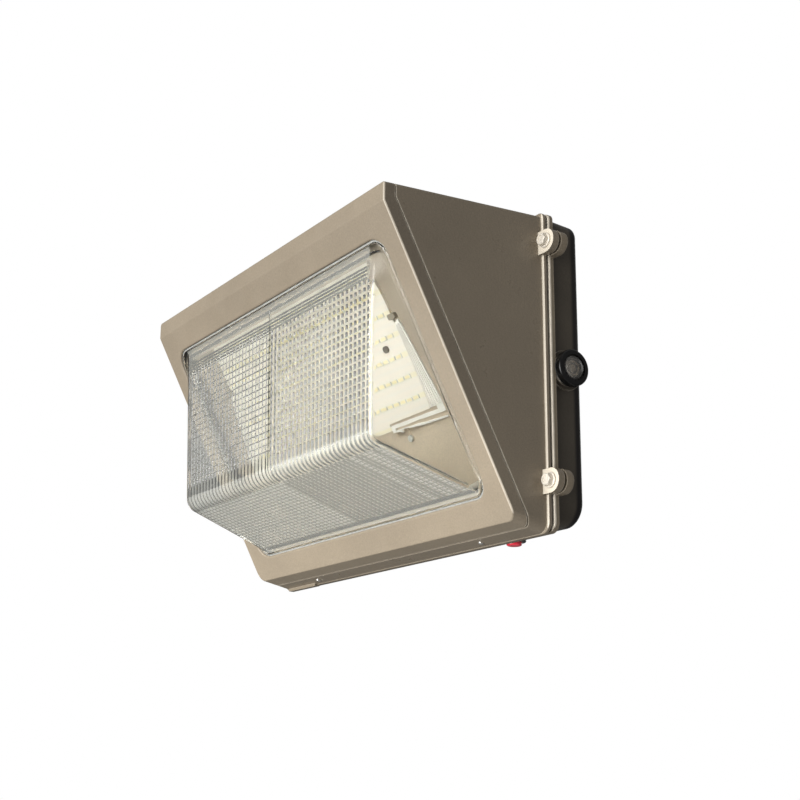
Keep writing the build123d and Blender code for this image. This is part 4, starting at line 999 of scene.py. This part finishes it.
# ------------------------------------------------------------------ LED packages
def led_packages():
    """White moulded packages with a recessed yellow phosphor window and two solder ends."""
    verts, faces, mats = [], [], []

    def ring(x, s, o, hx, hs, r, n=3):
        """Rounded rectangle, counter-clockwise, 4*(n+1) points."""
        out = []
        for q, (cx, cs) in enumerate(((hx - r, hs - r), (-hx + r, hs - r), (-hx + r, -hs + r), (hx - r, -hs + r))):
            for k in range(n + 1):
                a = math.pi / 2 * (q + k / n)
                out.append(world(x + cx + r * math.cos(a), s + cs + r * math.sin(a), o))
        return out

    def stack(rings, m_side, cap=None):
        base = len(verts)
        n = len(rings[0])
        for r in rings:
            verts.extend(r)
        for k in range(len(rings) - 1):
            for i in range(n):
                j = (i + 1) % n
                faces.append((base + k * n + i, base + k * n + j, base + (k + 1) * n + j, base + (k + 1) * n + i))
                mats.append(m_side[k])
        faces.append(tuple(base + i for i in range(n))[::-1])
        mats.append(m_side[0])
        faces.append(tuple(base + (len(rings) - 1) * n + i for i in range(n)))
        mats.append(cap)

    for row in range(7):
        s = 36.5 + 15.5 * row
        for i in range(28):
            x = (i - 13.5) * 8.2
            o = -14.0
            stack([ring(x, s, o + 0.02, 3.46, 1.56, 0.14), ring(x, s, o + 0.66, 3.44, 1.54, 0.16),
                   ring(x, s, o + 0.78, 3.34, 1.44, 0.18), ring(x, s, o + 0.78, 3.22, 1.34, 0.46),
                   ring(x, s, o + 0.66, 3.12, 1.24, 0.48), ring(x, s, o + 0.70, 2.20, 0.80, 0.40)],
                  [0, 0, 0, 0, 1, 1], 1)
            for g in (-1, 1):
                xe = x + g * 3.36
                stack([ring(xe, s, o + 0.01, 0.14, 0.95, 0.06), ring(xe, s, o + 0.30, 0.13, 0.92, 0.06),
                       ring(xe, s, o + 0.36, 0.09, 0.88, 0.06)], [2, 2, 2], 2)
    me = bpy.data.meshes.new("led_packages")
    me.from_pydata(verts, [], faces)
    for p, m in zip(me.polygons, mats):
        p.material_index = m
    me.validate()
    bm = bmesh.new()
    bm.from_mesh(me)
    bmesh.ops.recalc_face_normals(bm, faces=bm.faces)
    bm.to_mesh(me)
    bm.free()
    me.shade_smooth()
    me.set_sharp_from_angle(angle=math.radians(30.0))
    ob = bpy.data.objects.new("led_packages", me)
    scene.collection.objects.link(ob)
    for m in (m_white, m_phos, m_solder):
        me.materials.append(m)
    return ob


leds = led_packages()
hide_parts("led_chips")
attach(leds, "door")


# ------------------------------------------------------------ button return spring
def return_spring():
    """Wound wire with a closed turn at each end."""
    cx, cy, z0, z1, r, w = 122.0, -17.5, -111.2, -90.8, 3.3, 0.35
    end, mid, per, ring = 1.0, 5.85, 32, 10
    flat = 0.8
    turns = 2 * end + mid
    n = int(turns * per)
    u = np.linspace(0.0, turns, n + 1)
    z = np.interp(u, [0.0, end, end + mid, turns], [z0, z0 + flat, z1 - flat, z1])
    a = 2 * math.pi * u
    dz = np.gradient(z, a)
    vs, fs = [], []
    for i in range(n + 1):
        c_, s_ = math.cos(a[i]), math.sin(a[i])
        tn = np.array([-s_ * r, c_ * r, dz[i]])
        tn /= np.linalg.norm(tn)
        nr = np.array([c_, s_, 0.0])
        bn = np.cross(tn, nr)
        at = np.array([cx + r * c_, cy + r * s_, z[i]])
        for q in range(ring):
            t = 2 * math.pi * q / ring
            vs.append(tuple((at + w * (math.cos(t) * nr + math.sin(t) * bn)) * 0.001))
    for i in range(n):
        for q in range(ring):
            q2 = (q + 1) % ring
            fs.append((i * ring + q, i * ring + q2, (i + 1) * ring + q2, (i + 1) * ring + q))
    fs.append(tuple(range(ring)))
    fs.append(tuple(n * ring + q for q in range(ring)))
    me = bpy.data.meshes.new("return_spring")
    me.from_pydata(vs, [], fs)
    bm = bmesh.new()
    bm.from_mesh(me)
    bmesh.ops.recalc_face_normals(bm, faces=bm.faces)
    bm.to_mesh(me)
    bm.free()
    me.shade_smooth()
    me.set_sharp_from_angle(angle=math.radians(50.0))
    me.materials.append(m_steel)
    ob = bpy.data.objects.new("return_spring", me)
    scene.collection.objects.link(ob)
    return ob


coil = return_spring()
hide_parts("button_spring")
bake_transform(coil)

# --------------------------------------------------------------- finish per node
FINISH = {
    m_frame: ["front_frame"],
    m_house: ["front_housing"],
    m_back: ["back_housing"],
    m_taupe: ["led_plate"],
    m_clip: ["board_clamps"],
    m_gasket: ["glass_gasket"],
    board_screw_mat(): ["led_board_screws"],
    m_pale: ["led_strip_screws"],
    m_plug: ["conduit_plugs"],
    m_rubber: ["door_gasket", "photocell_seal"],
    m_steel: ["frame_screws", "glass_clips", "glass_clip_screws", "led_plate_screws",
              "terminal_screws", "hinge_pins", "button_spring"],
    m_strap: ["battery_straps", "driver_screws", "strap_screws", "block_screws"],
    m_bolt: ["bolt_upper", "bolt_lower", "bolt_washer_upper", "bolt_washer_lower"],
    m_driver: ["led_driver"],
    m_wrap: ["battery_pack"],
    m_white: ["terminal_block"],
    m_strip: ["led_side_strips"],
    m_board: ["led_board"],
    m_black: ["photocell_body", "photocell_nut", "button_body", "button_nut"],
    m_lens: ["photocell_lens"],
    m_sensor: ["photocell_sensor"],
    m_red: ["button_cap"],
    m_green: ["earth_screw"],
}
for m, names in FINISH.items():
    for n in names:
        put_on(n, m)
for n in ("glass_refractor", "led_chips"):
    put_on(n, m_glass if n == "glass_refractor" else m_phos)


# -------------------------------------------------------------------------- floor
def floor():
    me = bpy.data.meshes.new("floor")
    z, r = -1.6, 1.3
    me.from_pydata([(-r, -r, z), (r, -r, z), (r, r, z), (-r, r, z)], [], [(0, 1, 2, 3)])
    ob = bpy.data.objects.new("floor", me)
    scene.collection.objects.link(ob)
    k = Mat("pale_floor")
    n = k.noise(3.0, 4.0)
    f = k.mapr(n, "Fac", 0.3, 0.7)
    col = k.mix((f, "Result"), (0.76, 0.755, 0.74), (0.80, 0.795, 0.78))
    k.link(col, "Color", k.b, "Base Color")
    k.set(Roughness=0.8)
    me.materials.append(k.m)
    return ob


floor()

# -------------------------------------------------------------------------- light
# one broad soft source in front, dim surroundings, white behind the object
w = bpy.data.worlds.new("studio")
scene.world = w
w.use_nodes = True
wt = w.node_tree
wt.nodes.clear()


def wn(kind, **kw):
    n = wt.nodes.new(kind)
    for k, v in kw.items():
        setattr(n, k, v)
    return n


def lobe(direction, strength, power):
    d = Vector(direction).normalized()
    dot = wn("ShaderNodeVectorMath", operation="DOT_PRODUCT")
    wt.links.new(wco.outputs["Generated"], dot.inputs[0])
    dot.inputs[1].default_value = d
    mx = wn("ShaderNodeMath", operation="MAXIMUM")
    wt.links.new(dot.outputs["Value"], mx.inputs[0])
    mx.inputs[1].default_value = 0.0
    pw = wn("ShaderNodeMath", operation="POWER")
    wt.links.new(mx.outputs[0], pw.inputs[0])
    pw.inputs[1].default_value = power
    ml = wn("ShaderNodeMath", operation="MULTIPLY")
    wt.links.new(pw.outputs[0], ml.inputs[0])
    ml.inputs[1].default_value = strength
    return ml


def add(a, b):
    n = wn("ShaderNodeMath", operation="ADD")
    wt.links.new(a.outputs[0], n.inputs[0])
    if isinstance(b, float):
        n.inputs[1].default_value = b
    else:
        wt.links.new(b.outputs[0], n.inputs[1])
    return n


wco = wn("ShaderNodeTexCoord")
fill = add(lobe((-0.25, 1.0, 0.25), 1.3, 14.0), lobe((0.0, 0.0, 1.0), 0.4, 6.0))
total = add(add(add(lobe((0.04, -0.93, -0.03), 16.2, 13.0), lobe((1.0, 0.1, 0.12), 0.235, 2.0)), fill), 0.13)
bg = wn("ShaderNodeBackground")
bg.inputs["Color"].default_value = (1.0, 0.995, 0.985, 1.0)
wt.links.new(total.outputs[0], bg.inputs["Strength"])
white = wn("ShaderNodeBackground")
white.inputs["Color"].default_value = (1.0, 1.0, 1.0, 1.0)
white.inputs["Strength"].default_value = 1.0
lp = wn("ShaderNodeLightPath")
mixw = wn("ShaderNodeMixShader")
wt.links.new(lp.outputs["Is Camera Ray"], mixw.inputs[0])
wt.links.new(bg.outputs[0], mixw.inputs[1])
wt.links.new(white.outputs[0], mixw.inputs[2])
wo = wn("ShaderNodeOutputWorld")
wt.links.new(mixw.outputs[0], wo.inputs["Surface"])

# ------------------------------------------------------------------------- camera
a, e, r = math.radians(56.675), math.radians(-15.648), math.radians(0.486)
back = Vector((math.sin(a) * math.cos(e), -math.cos(a) * math.cos(e), math.sin(e)))
rt = (-back).cross(Vector((0, 0, 1))).normalized()
up = rt.cross(-back)
r2 = math.cos(r) * rt + math.sin(r) * up
u2 = -math.sin(r) * rt + math.cos(r) * up
cd = bpy.data.cameras.new("camera")
cd.sensor_width = 36.0
cd.lens = 1374.73 / 800.0 * 36.0
cd.clip_start, cd.clip_end = 0.05, 50.0
cam = bpy.data.objects.new("camera", cd)
scene.collection.objects.link(cam)
M = Matrix((r2, u2, back)).transposed().to_4x4()
M.translation = Vector((0.88627, -0.61824, -0.27834))
cam.matrix_world = M
scene.camera = cam
